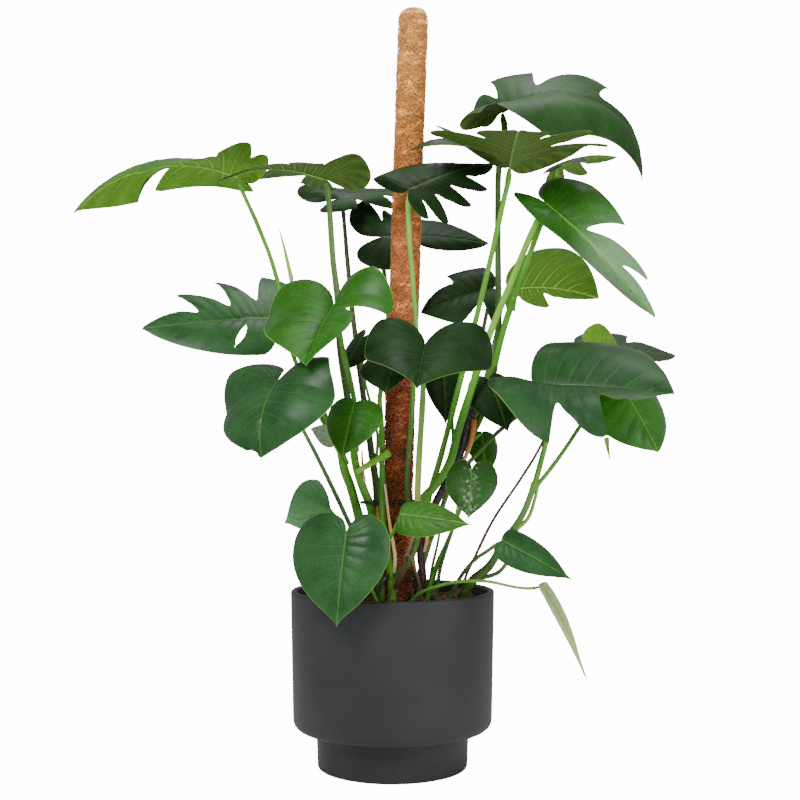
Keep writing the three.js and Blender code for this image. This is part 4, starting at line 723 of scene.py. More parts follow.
def stalkPaint(name, look):
    # Plant skin with fine lengthwise streaks and small pale flecks; its colour runs along the stalk.
    material, tree, shader = newMaterial(f"{name}: {look['real']}", Roughness=look["gloss"], IOR=1.45)
    shader.inputs["Specular IOR Level"].default_value = 0.26
    place = addNode(tree, "UVMap", dict(uv_map="stalk"))
    split = addNode(tree, "SeparateXYZ", inputs={0: place})
    along = addNode(tree, "ValToRGB", dict(stops=look["stops"]), {0: split.outputs[0]})
    # Streaks: noise with 14 waves along the stalk and 22 across it. Flecks of about 3 mm.
    stretched = addNode(tree, "Mapping", inputs={"Vector": place, "Scale": (14, 22, 1)})
    streak = addNode(tree, "TexNoise", inputs={"Vector": stretched, "Scale": 1.0, "Detail": 3.0})
    here = addNode(tree, "TexCoord").outputs["Object"]
    fleck = addNode(tree, "TexNoise", inputs={"Vector": here, "Scale": 320.0, "Detail": 2.0})
    flecks = addNode(tree, "MapRange", inputs={0: fleck, 1: 0.62, 2: 0.72, 3: 0.0, 4: 0.35})
    value = addNode(tree, "MapRange", inputs={0: streak, 1: 0.3, 2: 0.7, 3: 0.72, 4: 1.22})
    toned = addNode(tree, "HueSaturation", inputs={"Value": value, "Color": along})
    pale = addNode(tree, "Mix", dict(data_type="RGBA"),
                   {0: flecks, 6: toned, 7: linear("#b9b48c")})
    tree.links.new(pale.outputs[2], shader.inputs["Base Color"])
    bump = addNode(tree, "Bump", inputs={"Strength": 0.3, "Distance": 0.0004, "Height": streak})
    tree.links.new(bump.outputs[0], shader.inputs["Normal"])
    return material


stalkPaints = {name: stalkPaint(name, look) for name, look in stalkLooks.items()}

# Each group grows together from the soil. radius: at the top and at the bottom; path: from the top down.
# A stalk that carries a leaf ends under that leaf's joint.
stemGroups = dict(
    stems_left=[
        dict(finish="green", radius=[6.5, 8.5], path=[[-75, -30, 462], [-70, -30, 435], [-61, -28, 410],
             [-48, -24, 362], [-33, -18, 310], [-22, -15, 256], [-20, -14, 200]]),
        dict(finish="green", radius=[6, 7.5], path=[[-57, -42, 470], [-53, -42, 442], [-43, -40, 410],
             [-32, -37, 381], [-24, -32, 333], [-19, -27, 257], [-18, -25, 202]]),
        dict(leaf="leaf_left_high", finish="green", radius=[3, 4], path=[[-221, -39, 846],
             [-199, -38, 797], [-177, -36, 741], [-153, -40, 656], [-134, -40, 598], [-103, -35, 525],
             [-70, -30, 449]]),
        dict(finish="lime", radius=[0.8, 3.6], path=[[-165, -40, 786], [-157, -40, 755],
             [-147, -40, 712]]),
        dict(finish="green", radius=[2.4, 3], path=[[-148, -40, 718], [-142, -40, 653],
             [-133, -40, 594]]),
        dict(leaf="leaf_left_middle", finish="green", radius=[3, 4], path=[[-160, -26, 638],
             [-136, -24, 578], [-106, -25, 515], [-71, -29, 449]]),
        dict(leaf="leaf_bud_left", finish="green", radius=[1.5, 2.5], path=[[-74, -50, 468],
             [-65, -34, 444]]),
        dict(leaf="leaf_left_low", finish="deep", radius=[2.8, 3.6], path=[[-147, -160, 541],
             [-123, -125, 492], [-101, -97, 446], [-61, -62, 357], [-41, -46, 306], [-20, -26, 250]]),
        dict(leaf="leaf_left_inner", finish="deep", radius=[4, 5.5], path=[[-94, -58, 838],
             [-86, -52, 739], [-79, -52, 680], [-76, -50, 613], [-67, -45, 551], [-60, -43, 505],
             [-56, -42, 464]]),
        dict(leaf="leaf_left_front", finish="green", radius=[3.5, 4], path=[[-77, -112, 651],
             [-71, -98, 613], [-54, -68, 531], [-52, -45, 462]]),
        dict(leaf="leaf_heart_left", finish="green", radius=[2.2, 3], path=[[-51, -112, 512],
             [-51, -85, 480], [-54, -56, 463], [-54, -43, 446]]),
        dict(leaf="leaf_rear_left", finish="purple", radius=[3, 6], path=[[-77, 53, 834],
             [-69, 40, 751], [-61, 26, 674], [-46, 8, 560], [-33, -10, 473], [-23, -18, 395],
             [-27, -18, 325], [-24, -16, 290]]),
        dict(leaf="leaf_centre_left", finish="green", radius=[1.8, 2.5], path=[[-45, -20, 606],
             [-42, -20, 572], [-33, -19, 535], [-26, -18, 510], [-22, -16, 480], [-25, -15, 440]]),
        dict(finish="dried", radius=[1.4, 2.2], path=[[-44, -48, 462], [-43, -47, 440], [-40, -44, 418]]),
    ],
    stems_front=[
        dict(leaf="leaf_centre_front", finish="yellowing", radius=[3.8, 5.5], path=[[43, -180, 588],
             [42, -150, 533], [38, -105, 458], [36, -76, 400], [36, -62, 345], [26, -58, 309],
             [8, -56, 280], [-2, -53, 250], [-3, -50, 202]]),
        dict(leaf="leaf_centre_inner", finish="green", radius=[3, 6], path=[[5, -120, 588],
             [-10, -84, 568], [-18, -58, 540], [-16, -51, 503], [-15, -51, 421], [-14, -52, 363],
             [-8, -53, 323], [-3, -54, 290], [0, -52, 250], [0, -50, 202]]),
        dict(finish="lime", radius=[6, 4], path=[[-5, -60, 460], [-17, -56, 453], [-29, -56, 446],
             [-51, -61, 433]]),
        dict(leaf="leaf_pointed_front", finish="green", radius=[2.2, 3], path=[[5, -126, 358],
             [-6, -95, 330], [-2, -54, 275]]),
        dict(finish="pale", radius=[1.6, 2.8], path=[[-11, -55, 415], [-4, -60, 360], [4, -60, 310],
             [3, -55, 288]]),
        dict(finish="root", radius=[2.6, 3.4], path=[[31, -72, 345], [18, -66, 305], [4, -58, 266]]),
        dict(finish="root", radius=[1.8, 2.2], path=[[22, -60, 300], [17, -69, 314], [25, -73, 313],
             [33, -71, 292], [40, -67, 268], [42, -64, 244], [43, -62, 205]]),
        dict(finish="dried", radius=[1.4, 2.6], path=[[-22, -52, 382], [-20, -52, 364], [-14, -51, 340]]),
        dict(finish="plum", radius=[2.6, 3], path=[[-4, -55, 286], [-14, -62, 276], [-22, -65, 256],
             [-25, -64, 205]]),
    ],
    stems_right=[
        dict(finish="plum", radius=[7.2, 4.6], path=[[115, -29, 542], [109, -31, 500], [97, -34, 457],
             [82, -36, 423], [62, -37, 385], [46, -39, 345], [41, -41, 318], [44, -42, 285],
             [46, -42, 256], [46, -41, 200]]),
        dict(leaf="leaf_top", finish="deep", radius=[4.2, 5.2], path=[[166, -18, 938], [163, -2, 915],
             [159, 8, 884], [157, 0, 810], [156, -14, 740], [156, -16, 690], [156, -8, 628],
             [146, -6, 560], [126, -18, 505], [108, -30, 478]]),
        dict(leaf="leaf_front_tall", finish="green", radius=[3.8, 4.5], path=[[167, -64, 852],
             [160, -67, 822], [141, -56, 736], [120, -50, 649], [95, -48, 551], [80, -46, 492],
             [66, -42, 440], [54, -39, 400], [47, -38, 360]]),
        dict(leaf="leaf_right_hanging", finish="sheath", radius=[4, 6.5], path=[[212, -80, 801],
             [200, -74, 776], [170, -66, 704], [140, -62, 631], [116, -57, 558], [96, -56, 496],
             [82, -54, 445], [62, -52, 413], [44, -47, 392], [40, -40, 360]]),
        dict(leaf="leaf_small_high", finish="green", radius=[3.5, 5.5], path=[[247, 39, 878],
             [240, 10, 845], [216, -26, 790], [190, -36, 720], [166, -20, 650], [146, -4, 572],
             [124, -14, 518], [107, -28, 484]]),
        dict(leaf="leaf_front_high", finish="fading", radius=[3.5, 3.5], path=[[23, -106, 813],
             [24, -100, 768], [29, -92, 705], [34, -80, 628], [30, -68, 560], [27, -60, 500],
             [22, -54, 440], [22, -50, 395], [32, -46, 355], [40, -42, 322]]),
        dict(leaf="leaf_right_inner", finish="deep", radius=[2.5, 3.5], path=[[138, -31, 542],
             [122, -29, 516], [111, -31, 500]]),
        dict(leaf="leaf_right_under", finish="green", radius=[2, 3], path=[[124, 8, 481],
             [99, -30, 458]]),
        dict(leaf="leaf_rear_far_right", finish="deep", radius=[2.5, 3.5], path=[[309, 104, 601],
             [257, 72, 559], [211, 40, 530], [160, 8, 493], [105, -26, 439], [82, -35, 420]]),
        dict(finish="dried", radius=[4, 3], path=[[119, -36, 508], [116, -37, 484], [108, -38, 458],
             [97, -36, 438]]),
        dict(finish="deep", radius=[1.6, 2.6], path=[[71, -58, 365], [65, -58, 330], [58, -57, 300],
             [54, -54, 275], [49, -45, 250]]),
        dict(finish="green", radius=[2.2, 4], path=[[98, -50, 405], [90, -56, 361], [78, -58, 331],
             [65, -58, 302], [57, -55, 275], [50, -47, 245]]),
        dict(finish="pale", radius=[3.2, 2.2], path=[[49, -50, 352], [50, -50, 335], [46, -45, 318]]),
    ],
    stems_back=[
        dict(finish="deep", radius=[4.5, 6], path=[[56, 30, 328], [41, 29, 276], [36, 29, 239],
             [34, 29, 198]]),
        dict(leaf="leaf_rear_middle", finish="deep", radius=[3.2, 4], path=[[-19, 70, 777],
             [-14, 66, 743], [-9, 60, 693], [-3, 54, 570], [6, 48, 463], [22, 40, 350], [36, 30, 256]]),
        dict(leaf="leaf_rear_right", finish="deep", radius=[3.2, 4.2], path=[[173, 84, 699],
             [161, 72, 648], [146, 60, 586], [117, 48, 494], [87, 38, 411], [55, 30, 323]]),
        dict(leaf="leaf_rear_small", finish="purple", radius=[3, 3.5], path=[[146, 42, 686],
             [133, 44, 623], [117, 45, 547], [99, 41, 441]]),
        dict(leaf="leaf_heart_rear", finish="green", radius=[2, 3], path=[[80, 68, 583], [87, 64, 540],
             [92, 53, 480], [87, 39, 407]]),
    ],
    stems_far_right=[
        dict(finish="deep", radius=[4.2, 7.5], path=[[198, -112, 419], [193, -108, 400],
             [182, -100, 372], [159, -85, 335], [137, -72, 298], [115, -64, 278], [100, -57, 254],
             [95, -54, 200]]),
        dict(leaf="leaf_right_low", finish="sheath", radius=[3.5, 4.2], path=[[205, -142, 542],
             [216, -130, 513], [214, -122, 479], [206, -116, 444], [197, -110, 409]]),
        dict(leaf="leaf_right_outer", finish="green", radius=[2.8, 3.2], path=[[304, -104, 555],
             [281, -98, 524], [260, -97, 491], [230, -100, 448], [197, -109, 408]]),
        dict(finish="lime", radius=[0.8, 4], path=[[307, -94, 452], [304, -95, 466], [302, -95, 481]]),
        dict(finish="green", radius=[1.8, 2.2], path=[[302, -95, 485], [298, -96, 499], [280, -98, 521]]),
        dict(finish="red", radius=[2, 2.2], path=[[214, -122, 487], [203, -112, 462], [180, -92, 422],
             [142, -74, 362], [117, -68, 310], [105, -62, 283], [100, -58, 258]]),
        dict(finish="deep", radius=[2.8, 3.4], path=[[166, -84, 312], [156, -79, 296], [146, -74, 288],
             [126, -67, 282]]),
        dict(finish="lime", radius=[2.4, 3.2], path=[[204, -107, 415], [200, -99, 394], [191, -93, 368],
             [172, -92, 350]]),
    ],
    stem_low_right=[
        dict(leaf="leaf_low_right", finish="deep", radius=[2.5, 3.2], path=[[144, -142, 336],
             [132, -122, 325], [114, -98, 309], [97, -80, 285], [80, -70, 248], [76, -68, 205]]),
    ],
    stem_runner=[
        dict(leaf="leaf_runner", finish="runner", radius=[2, 3], path=[[195, -84, 269], [175, -88, 271],
             [131, -92, 280], [91, -92, 279], [63, -88, 272], [34, -80, 258], [20, -76, 238],
             [18, -75, 205]]),
    ],
    stem_low_left=[
        dict(leaf="leaf_low_front", finish="green", radius=[2.5, 3.2], path=[[-57, -158, 338],
             [-44, -130, 300], [-28, -102, 266], [-17, -86, 235], [-16, -84, 205]]),
    ],
    stem_low_left_rear=[
        dict(leaf="leaf_low_left_rear", finish="deep", radius=[2.2, 3], path=[[-80, -62, 366],
             [-60, -66, 322], [-46, -66, 272], [-41, -64, 205]]),
    ],
    stem_small_right=[
        dict(leaf="leaf_heart_right", finish="deep", radius=[2.2, 3], path=[[108, -124, 419],
             [98, -108, 388], [82, -84, 342], [68, -66, 293], [63, -58, 250], [61, -56, 205]]),
    ],
)

# joint, jointLength: where below its blade a stalk swells, and over what length, in mm; neck: how thin it
# is right below the blade, under: how far its middle starts below it, both in radii; back: where the
# channel faces; sway, swaySize: unevenness and the length of its waves in mm.
stalkMesh = dict(
    step=5, sides=18, joint=16, jointLength=9, swell=0.16, neck=0.62, under=0.55,
    groove=0.16, grooveWidth=0.28, back=(-0.45, 0.9, 0), sway=0.04, swaySize=60,
)


def stalkTube(stalk, seed):
    # Round stalk whose radius runs evenly from top to foot; below a blade it swells into a short joint,
    # its upper side has a shallow channel, and slow waves keep it from looking turned.
    path = [list(p) for p in stalk["path"]]
    if "leaf" in stalk:
        leaf = {**plainLeaf, **leaves[stalk["leaf"]]}
        below = blade["thick"] + stalk["radius"][0] * stalkMesh["under"]
        under = bentPlace(leaf, 0, np.ones(1), np.zeros(1), np.full(1, -below))[0]
        path.insert(0, list(under))
    centres = curvePoints(path, stalkMesh["step"])
    u = np.linspace(0, 1, len(centres))
    length = stalkMesh["step"] * (len(centres) - 1)
    radii = np.interp(u, [0, 1], stalk["radius"])
    turn = 2 * math.pi * np.arange(stalkMesh["sides"]) / stalkMesh["sides"]
    if "leaf" in stalk:
        down = u * length
        away = (down - stalkMesh["joint"]) / stalkMesh["jointLength"]
        radii = radii * (1 + stalkMesh["swell"] * np.exp(-away ** 2))
        neck = stalkMesh["neck"]
        radii = radii * (neck + (1 - neck) * smooth(down / stalkMesh["jointLength"]))
    channel = np.exp(-(np.cos(turn / 2) / stalkMesh["grooveWidth"]) ** 2)
    radii = radii[:, None] * (1 - stalkMesh["groove"] * channel)
    radii = radii * (1 + stalkMesh["sway"] * waves(centres, stalkMesh["swaySize"], seed)[:, None])
    points, corners, counts, along = tube(centres, radii, stalkMesh["sides"], stalkMesh["back"])
    # The map runs along the stalk in x and round it in y.
    around = np.concatenate([np.tile(turn, len(centres)), [0, 0]])
    values = np.stack([along, 0.5 + 0.5 * np.cos(around)], 1)[corners]
    return points, corners, counts, values


for groupNumber, (name, stalks) in enumerate(stemGroups.items()):
    parts, paintOf, maps = [], [], []
    used = sorted({stalk["finish"] for stalk in stalks})
    for number, stalk in enumerate(stalks):
        part = stalkTube(stalk, 10 * groupNumber + number)
        parts.append(part)
        maps.append(part[3])
        paintOf.append(np.full(len(part[2]), used.index(stalk["finish"])))
    points, corners, counts = joinParts(parts)
    piece = makePiece(name + "_stalks", points, corners, counts, [stalkPaints[finish] for finish in used],
                      "stalk", np.concatenate(paintOf), dict(stalk=np.vstack(maps)))
    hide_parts(name)
print("stalks made")


# Pole

# axis: points of the middle line; fibresFrom, fibresLow: the lowest heights where a fibre starts and runs;
# lay, follow: how high a fibre lies over the sleeve, and how much of its relief it follows; slant: radians.
pole = dict(
    radius=21, bottom=70, top=1127, headHeight=14, step=1.6, sides=112,
    axis=[[6.5, 5, 256], [8, 5, 404], [11, 5, 527], [18, 5, 705], [23.5, 5, 904], [31.5, 5, 1127]],
    fibresFrom=250, fibresLow=230, lay=0.7, follow=0.4, slant=(0.05, 1.1), fibreTones=(0.6, 1.5),
)
# Each kind: piece, real material, then how many, and lengths, height of the arch and radii in mm.
fibreKinds = [
    ("pole_coir_fibres", "loose coconut fibre",
     dict(count=4200, seed=21, lengths=(16, 45), lift=(0.0, 1.2), thick=(0.25, 0.6))),
    ("pole_coir_strays", "stray coconut fibre",
     dict(count=170, seed=22, lengths=(8, 20), lift=(1.5, 4.0), thick=(0.16, 0.3))),
]


def poleAt(z):
    # Middle of the pole at height z: straight between the axis points, upright below the lowest.
    x, y, height = np.array(pole["axis"]).T
    return np.stack([np.interp(z, height, x), np.interp(z, height, y), z], -1)


def coirRelief(turn, z):
    # Height of the wound coir: two crossing sets of slanted threads, slow bulges and loose fuzz, in mm.
    place = np.stack([pole["radius"] * np.cos(turn), pole["radius"] * np.sin(turn), z], -1)
    left = np.sin(turn * 9 + z / 4.6 + 1.5 * waves(place, 40, 3))
    right = np.sin(-turn * 8 + z / 3.9 + 1.8 * waves(place, 34, 4))
    rings = np.sin(2 * math.pi * z / 15 + 1.2 * waves(place, 60, 5))
    return (0.5 * np.abs(left) ** 0.6 + 0.45 * np.abs(right) ** 0.6 + 0.35 * rings
            + 0.7 * waves(place, 26, 6) + 0.45 * waves(place, 7, 7) + 0.3 * waves(place, 3, 8) - 0.9)


def coirSleeve():
    # A wall on a grid of turn by height, pushed out by the relief, with a flat foot. The head narrows by
    # the root of 1 - 0.92 u^2.5, with u its height from 0 to 1.
    z = np.arange(pole["bottom"], pole["top"] - pole["headHeight"], pole["step"])
    head = pole["top"] - pole["headHeight"] * (1 - np.sin(np.linspace(0, math.pi / 2, 9)))
    z = np.concatenate([z, head])
    turn = 2 * math.pi * np.arange(pole["sides"]) / pole["sides"]
    up = np.clip((z - pole["top"] + pole["headHeight"]) / pole["headHeight"], 0, 1)
    narrow = np.sqrt(1 - 0.92 * up ** 2.5)[:, None]
    grid = np.meshgrid(z, turn, indexing="ij")
    relief = coirRelief(grid[1], grid[0])
    radius = (pole["radius"] + relief) * narrow
    middle = poleAt(z)[:, None]
    ring = np.stack([np.cos(turn), np.sin(turn), np.zeros_like(turn)], -1)
    rings = middle + ring * radius[..., None]
    # Hollows between the threads are darker, ridges lighter: painted shade in the hollows and painted light
    # on the ridges.
    tones = np.concatenate([np.clip(1.0 + 0.28 * relief.ravel(), 0.45, 1.5), [1, 1]])
    return *closedRings(rings, poleAt(z[:1])[0], poleAt(z[-1:])[0] + [0, 0, 1]), tones


def coirFibres(count, seed, lengths, lift, thick):
    # Fibres as three-sided threads laid round the sleeve: each starts at a random place, runs on a slant,
    # and rises by its lift times the sine of half a turn to the power 0.8. All are worked out at once.
    draw = np.random.default_rng(seed)
    steps = 8
    f = np.linspace(0, 1, steps)
    length = draw.uniform(*lengths, count)[:, None]
    slant = draw.choice([-1, 1], count)[:, None] * draw.uniform(*pole["slant"], count)[:, None]
    turn = draw.uniform(0, 2 * math.pi, count)[:, None] + f * length / pole["radius"] * np.cos(slant)
    top = pole["top"] - pole["headHeight"]
    z = draw.uniform(pole["fibresFrom"], top, count)[:, None] + f * length * np.sin(slant)
    z = np.clip(z + draw.normal(0, 1, (count, 1)) * f * (1 - f) * 6, pole["fibresLow"], top)
    high = draw.uniform(*lift, count)[:, None]
    radius = pole["radius"] + pole["lay"] + pole["follow"] * coirRelief(turn, z)
    radius = radius + high * np.sin(math.pi * f) ** 0.8
    out = np.stack([np.cos(turn), np.sin(turn), np.zeros_like(turn)], -1)
    centres = poleAt(z) + out * radius[..., None]
    ahead = np.gradient(centres, axis=1)
    ahead /= np.linalg.norm(ahead, axis=-1, keepdims=True)
    across = np.cross(ahead, out)
    width = draw.uniform(*thick, count)[:, None] * np.sin(math.pi * (0.12 + 0.76 * f))
    sides = 3
    angles = 2 * math.pi * np.arange(sides) / sides
    ring = out[:, :, None] * np.cos(angles)[:, None] + across[:, :, None] * np.sin(angles)[:, None]
    points = (centres[:, :, None] + ring * width[:, :, None, None]).reshape(-1, 3)
    quads = gridFaces(steps, sides, wrap=True)
    caps = np.array([[0, 2, 1], [steps * sides - 3, steps * sides - 2, steps * sides - 1]])
    start = (np.arange(count) * steps * sides)[:, None, None]
    corners = np.concatenate([(quads[None] + start).ravel(), (caps[None] + start).ravel()])
    counts = np.concatenate([np.full(count * len(quads), 4), np.full(count * 2, 3)])
    tones = np.repeat(draw.uniform(*pole["fibreTones"], count), steps * sides)
    return points, corners, counts, tones


def coirPaint(name, lighter, contrast=1.0):
    # Coconut fibre: matt, golden at the top and red-brown lower down, partly drier and damper coir and
    # partly painted shade that deepens downwards; fine crossing threads.
    # lighter and contrast are factors of the whole and of the difference between threads and gaps; the
    # darker gaps are painted shade between the threads.
    material, tree, shader = newMaterial(name, Roughness=0.88, IOR=1.5)
    shader.inputs["Specular IOR Level"].default_value = 0.25
    here = addNode(tree, "TexCoord").outputs["Object"]
    split = addNode(tree, "SeparateXYZ", inputs={0: here})
    height = addNode(tree, "MapRange", inputs={0: split.outputs[2], 1: 0.24, 2: 1.13, 3: 0.0, 4: 1.0})
    drift = addNode(tree, "TexNoise", inputs={"Vector": here, "Scale": 28.0})
    shift = addNode(tree, "Math", dict(operation="MULTIPLY_ADD"),
                    {0: drift, 1: 0.12, 2: height})
    along = addNode(tree, "ValToRGB", dict(stops=[
        (0.06, "#93553a"), (0.24, "#ad6636"), (0.34, "#b2623f"), (0.45, "#b5623e"), (0.56, "#c47c48"),
        (0.78, "#c67f48"), (0.88, "#dc9c50"), (1.0, "#e6a85c")]), {0: shift})
    # Dark patches about 20 mm across in the lower part: partly damp coir, partly painted shade.
    dampShadeNoise = addNode(tree, "TexNoise", inputs={"Vector": here, "Scale": 45.0, "Detail": 3.0})
    dampShadeAmount = addNode(tree, "MapRange", inputs={0: dampShadeNoise, 1: 0.48, 2: 0.62, 3: 0.0, 4: 0.4})
    lower = addNode(tree, "MapRange", inputs={0: split.outputs[2], 1: 0.55, 2: 0.75, 3: 1.0, 4: 0.25})
    dampAndShade = addNode(tree, "Math", dict(operation="MULTIPLY"), {0: dampShadeAmount, 1: lower})
    patchy = addNode(tree, "Mix", dict(data_type="RGBA"),
                     {0: dampAndShade, 6: along, 7: linear("#54262a")})
    # Threads about 4 mm apart, in two slanting directions, with fuzz of about 2.4 mm.
    threads = []
    for turn in (0.6, -0.75):
        turned = addNode(tree, "Mapping", inputs={"Vector": here, "Rotation": (turn, turn * 0.7, 0)})
        wave = addNode(tree, "TexWave", dict(bands_direction="Z"), {
            "Vector": turned, "Scale": 78.0, "Distortion": 7.0, "Detail": 2.0, "Detail Scale": 2.0})
        threads.append(wave.outputs["Fac"])
    cross = addNode(tree, "Math", dict(operation="MAXIMUM"), {0: threads[0], 1: threads[1]})
    fuzz = addNode(tree, "TexNoise", inputs={"Vector": here, "Scale": 420.0, "Detail": 3.0})
    both = addNode(tree, "Math", dict(operation="MULTIPLY_ADD"), {0: cross, 1: 1.6, 2: fuzz})
    # Where the threads sink into gaps the colour is darker: painted shade in the hollows, over the threads'
    # own light and dark.
    value = addNode(tree, "MapRange", inputs={
        0: both, 1: 0.6, 2: 2.0, 3: (1 - 0.45 * contrast) * lighter, 4: (1 + 0.4 * contrast) * lighter})
    # On the sleeve the tone attribute is painted shade in the hollows and painted light on the ridges; on
    # loose fibres it is each fibre's own random tone.
    tone = addNode(tree, "Attribute", dict(attribute_name="tone"))
    toned = addNode(tree, "Math", dict(operation="MULTIPLY"), {0: value, 1: tone.outputs["Fac"]})
    final = addNode(tree, "HueSaturation", inputs={"Value": toned, "Color": patchy})
    tree.links.new(final.outputs[0], shader.inputs["Base Color"])
    bump = addNode(tree, "Bump", inputs={"Strength": 0.8, "Distance": 0.0012, "Height": both})
    tree.links.new(bump.outputs[0], shader.inputs["Normal"])
    return material


points, corners, counts, tones = coirSleeve()
coir = coirPaint("wound coconut coir", 1.1)
sleeve = makePiece("pole_coir_sleeve", points, corners, counts, [coir], "coir", tones=tones, sharp=180)
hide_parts("pole_coir")
for name, real, fibres in fibreKinds:
    points, corners, counts, tones = coirFibres(**fibres)
    coir = coirPaint(real, 1.1, 0.35)
    makePiece(name, points, corners, counts, [coir], "coir", tones=tones, sharp=180)
print("pole made")


# Pole core: sawn softwood stick, hidden in the coir, with fine lengthwise grain
core, tree, shader = newMaterial("sawn softwood stick", Roughness=0.75, IOR=1.5)
here = addNode(tree, "TexCoord").outputs["Object"]
drawn = addNode(tree, "Mapping", inputs={"Vector": here, "Scale": (1, 1, 0.06)})
grain = addNode(tree, "TexNoise", inputs={"Vector": drawn, "Scale": 600.0, "Detail": 3.0})
wood = addNode(tree, "ValToRGB", dict(stops=[(0.3, "#6e5238"), (0.7, "#a5835a")]), {0: grain})
tree.links.new(wood.outputs[0], shader.inputs["Base Color"])
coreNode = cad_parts["pole_core"]
coreNode.data.materials.clear()
coreNode.data.materials.append(core)


# Tie: soft plastic cord, one loop round the pole and a stem
# strands: how far the two laid strands stand out, in radii; twist: their turn from ring to ring.
tie = dict(height=388, radius=2, poleRadius=24, stemAt=(-35, -38), stemRadius=10.3, sides=12,
           polePoints=48, stemPoints=20, runPoints=10, strands=0.12, twist=0.9)


def tieLoop():
    # Outer tangent loop round two circles: an arc on each, joined by straight runs. The arcs end where the
    # cosine of the angle to the line between the middles is the difference of the radii over its length.
    middle = poleAt(np.array([float(tie["height"])]))[0]
    stem = np.array([*tie["stemAt"], tie["height"]], float)
    way = stem - middle
    heading = math.atan2(way[1], way[0])
    spread = math.acos((tie["poleRadius"] - tie["stemRadius"]) / np.linalg.norm(way[:2]))
    big = heading + np.linspace(spread, 2 * math.pi - spread, tie["polePoints"])
    small = heading + np.linspace(-spread, spread, tie["stemPoints"])
    arcs = []
    for turns, centre, radius in ((big, middle, tie["poleRadius"]), (small, stem, tie["stemRadius"])):
        arcs.append(np.stack([centre[0] + radius * np.cos(turns), centre[1] + radius * np.sin(turns),
                              np.full_like(turns, tie["height"])], 1))
    runs = [np.linspace(arcs[k][-1], arcs[1 - k][0], tie["runPoints"] + 2)[1:-1] for k in (0, 1)]
    return np.vstack([arcs[0], runs[0], arcs[1], runs[1]])


plastic, tree, shader = newMaterial("soft dark green plastic tie", Roughness=0.5, IOR=1.46)
here = addNode(tree, "TexCoord").outputs["Object"]
noise = addNode(tree, "TexNoise", inputs={"Vector": here, "Scale": 300.0})
dusty = addNode(tree, "ValToRGB", dict(stops=[(0.35, "#16211b"), (0.75, "#2b3a30")]), {0: noise})
tree.links.new(dusty.outputs[0], shader.inputs["Base Color"])
loop = tieLoop()
turns = np.arange(len(loop))[:, None] * tie["twist"] + 2 * math.pi * np.arange(tie["sides"]) / tie["sides"]
radii = tie["radius"] * (1 + tie["strands"] * np.cos(2 * turns))
points, corners, counts, _ = tube(loop, radii, tie["sides"], (0, 0, 1), loop=True)
tieLoopPiece = makePiece("tie_loop", points, corners, counts, [plastic], "tie")
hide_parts("tie")
print("tie made")


# Pot

# rim, foot: outer radii; wall: thickness; sides: flats of the turned surface.
pot = dict(rim=150, height=258, wall=9, foot=110, footHeight=50, sides=192)


def lathe(profile, sides):
    # Profile of radius and height, from the axis round to the axis again, turned about +Z.
    profile = np.asarray(profile, float)
    ring = profile[1:-1]
    turn = 2 * math.pi * np.arange(sides) / sides
    rings = np.stack([ring[:, :1] * np.cos(turn), ring[:, :1] * np.sin(turn),
                      np.repeat(ring[:, 1:], sides, 1)], -1)
    return closedRings(rings, [0, 0, profile[0, 1]], [0, 0, profile[-1, 1]])


def roundedProfile(corners, pieces=7):
    # Each corner [radius, height, size] becomes a quadratic curve that starts and ends size mm away.
    corners = np.asarray(corners, float)
    rows = [corners[0, :2]]
    for before, here, after in zip(corners[:-2], corners[1:-1], corners[2:]):
        back, on = before[:2] - here[:2], after[:2] - here[:2]
        start = here[:2] + back / np.linalg.norm(back) * here[2]
        stop = here[:2] + on / np.linalg.norm(on) * here[2]
        f = np.linspace(0, 1, pieces)[:, None]
        rows.append((1 - f) ** 2 * start + 2 * f * (1 - f) * here[:2] + f ** 2 * stop)
    rows.append(corners[-1, :2])
    return np.vstack(rows)


# The outside runs up from the foot, over the lip and down the inner wall.
rim, tall, wall, foot, footTop = pot["rim"], pot["height"], pot["wall"], pot["foot"], pot["footHeight"]
potProfile = roundedProfile([
    [0, 0, 0], [foot, 0, 4], [foot + 2, footTop + 4, 3], [rim - 4, footTop + 9, 13], [rim, tall, 4.2],
    [rim - wall, tall, 4.2], [rim - wall - 4, footTop + 19, 12], [foot - wall, footTop + 12, 6],
    [foot - wall, 10, 4], [0, 10, 0]])


def glazePaint():
    # Stoneware with a matt charcoal glaze: even, with specks of about 1.4 mm and faint wide clouds.
    material, tree, shader = newMaterial("stoneware, matt charcoal glaze", Roughness=0.55, IOR=1.5)
    shader.inputs["Specular IOR Level"].default_value = 0.4
    here = addNode(tree, "TexCoord").outputs["Object"]
    speck = addNode(tree, "TexNoise", inputs={"Vector": here, "Scale": 700.0, "Detail": 2.0})
    cloud = addNode(tree, "TexNoise", inputs={"Vector": here, "Scale": 9.0, "Detail": 3.0})
    both = addNode(tree, "Math", dict(operation="MULTIPLY_ADD"), {0: speck, 1: 0.35, 2: cloud})
    colour = addNode(tree, "ValToRGB", dict(stops=[(0.45, "#18191c"), (0.68, "#1e1f22"), (0.9, "#252629")]),
                     {0: both})
    tree.links.new(colour.outputs[0], shader.inputs["Base Color"])
    bump = addNode(tree, "Bump", inputs={"Strength": 0.12, "Distance": 0.0004, "Height": speck})
    tree.links.new(bump.outputs[0], shader.inputs["Normal"])
    return material


points, corners, counts = lathe(potProfile, pot["sides"])
potBody = makePiece("pot_body", points, corners, counts, [glazePaint()], "pot", sharp=60)
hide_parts("pot")
print("pot made")


# Soil

# floor: the height of its underside; chipMargin: the strip along the wall without chips; chipSize: mean and
# spread of the logarithm of their half width; chipTilt: spread of their slope, in radians.
soil = dict(height=241, radius=139.5, floor=11, rings=46, sides=150,
            chips=1500, seed=31, chipMargin=8, chipSize=(1.25, 0.42), chipTilt=0.4)


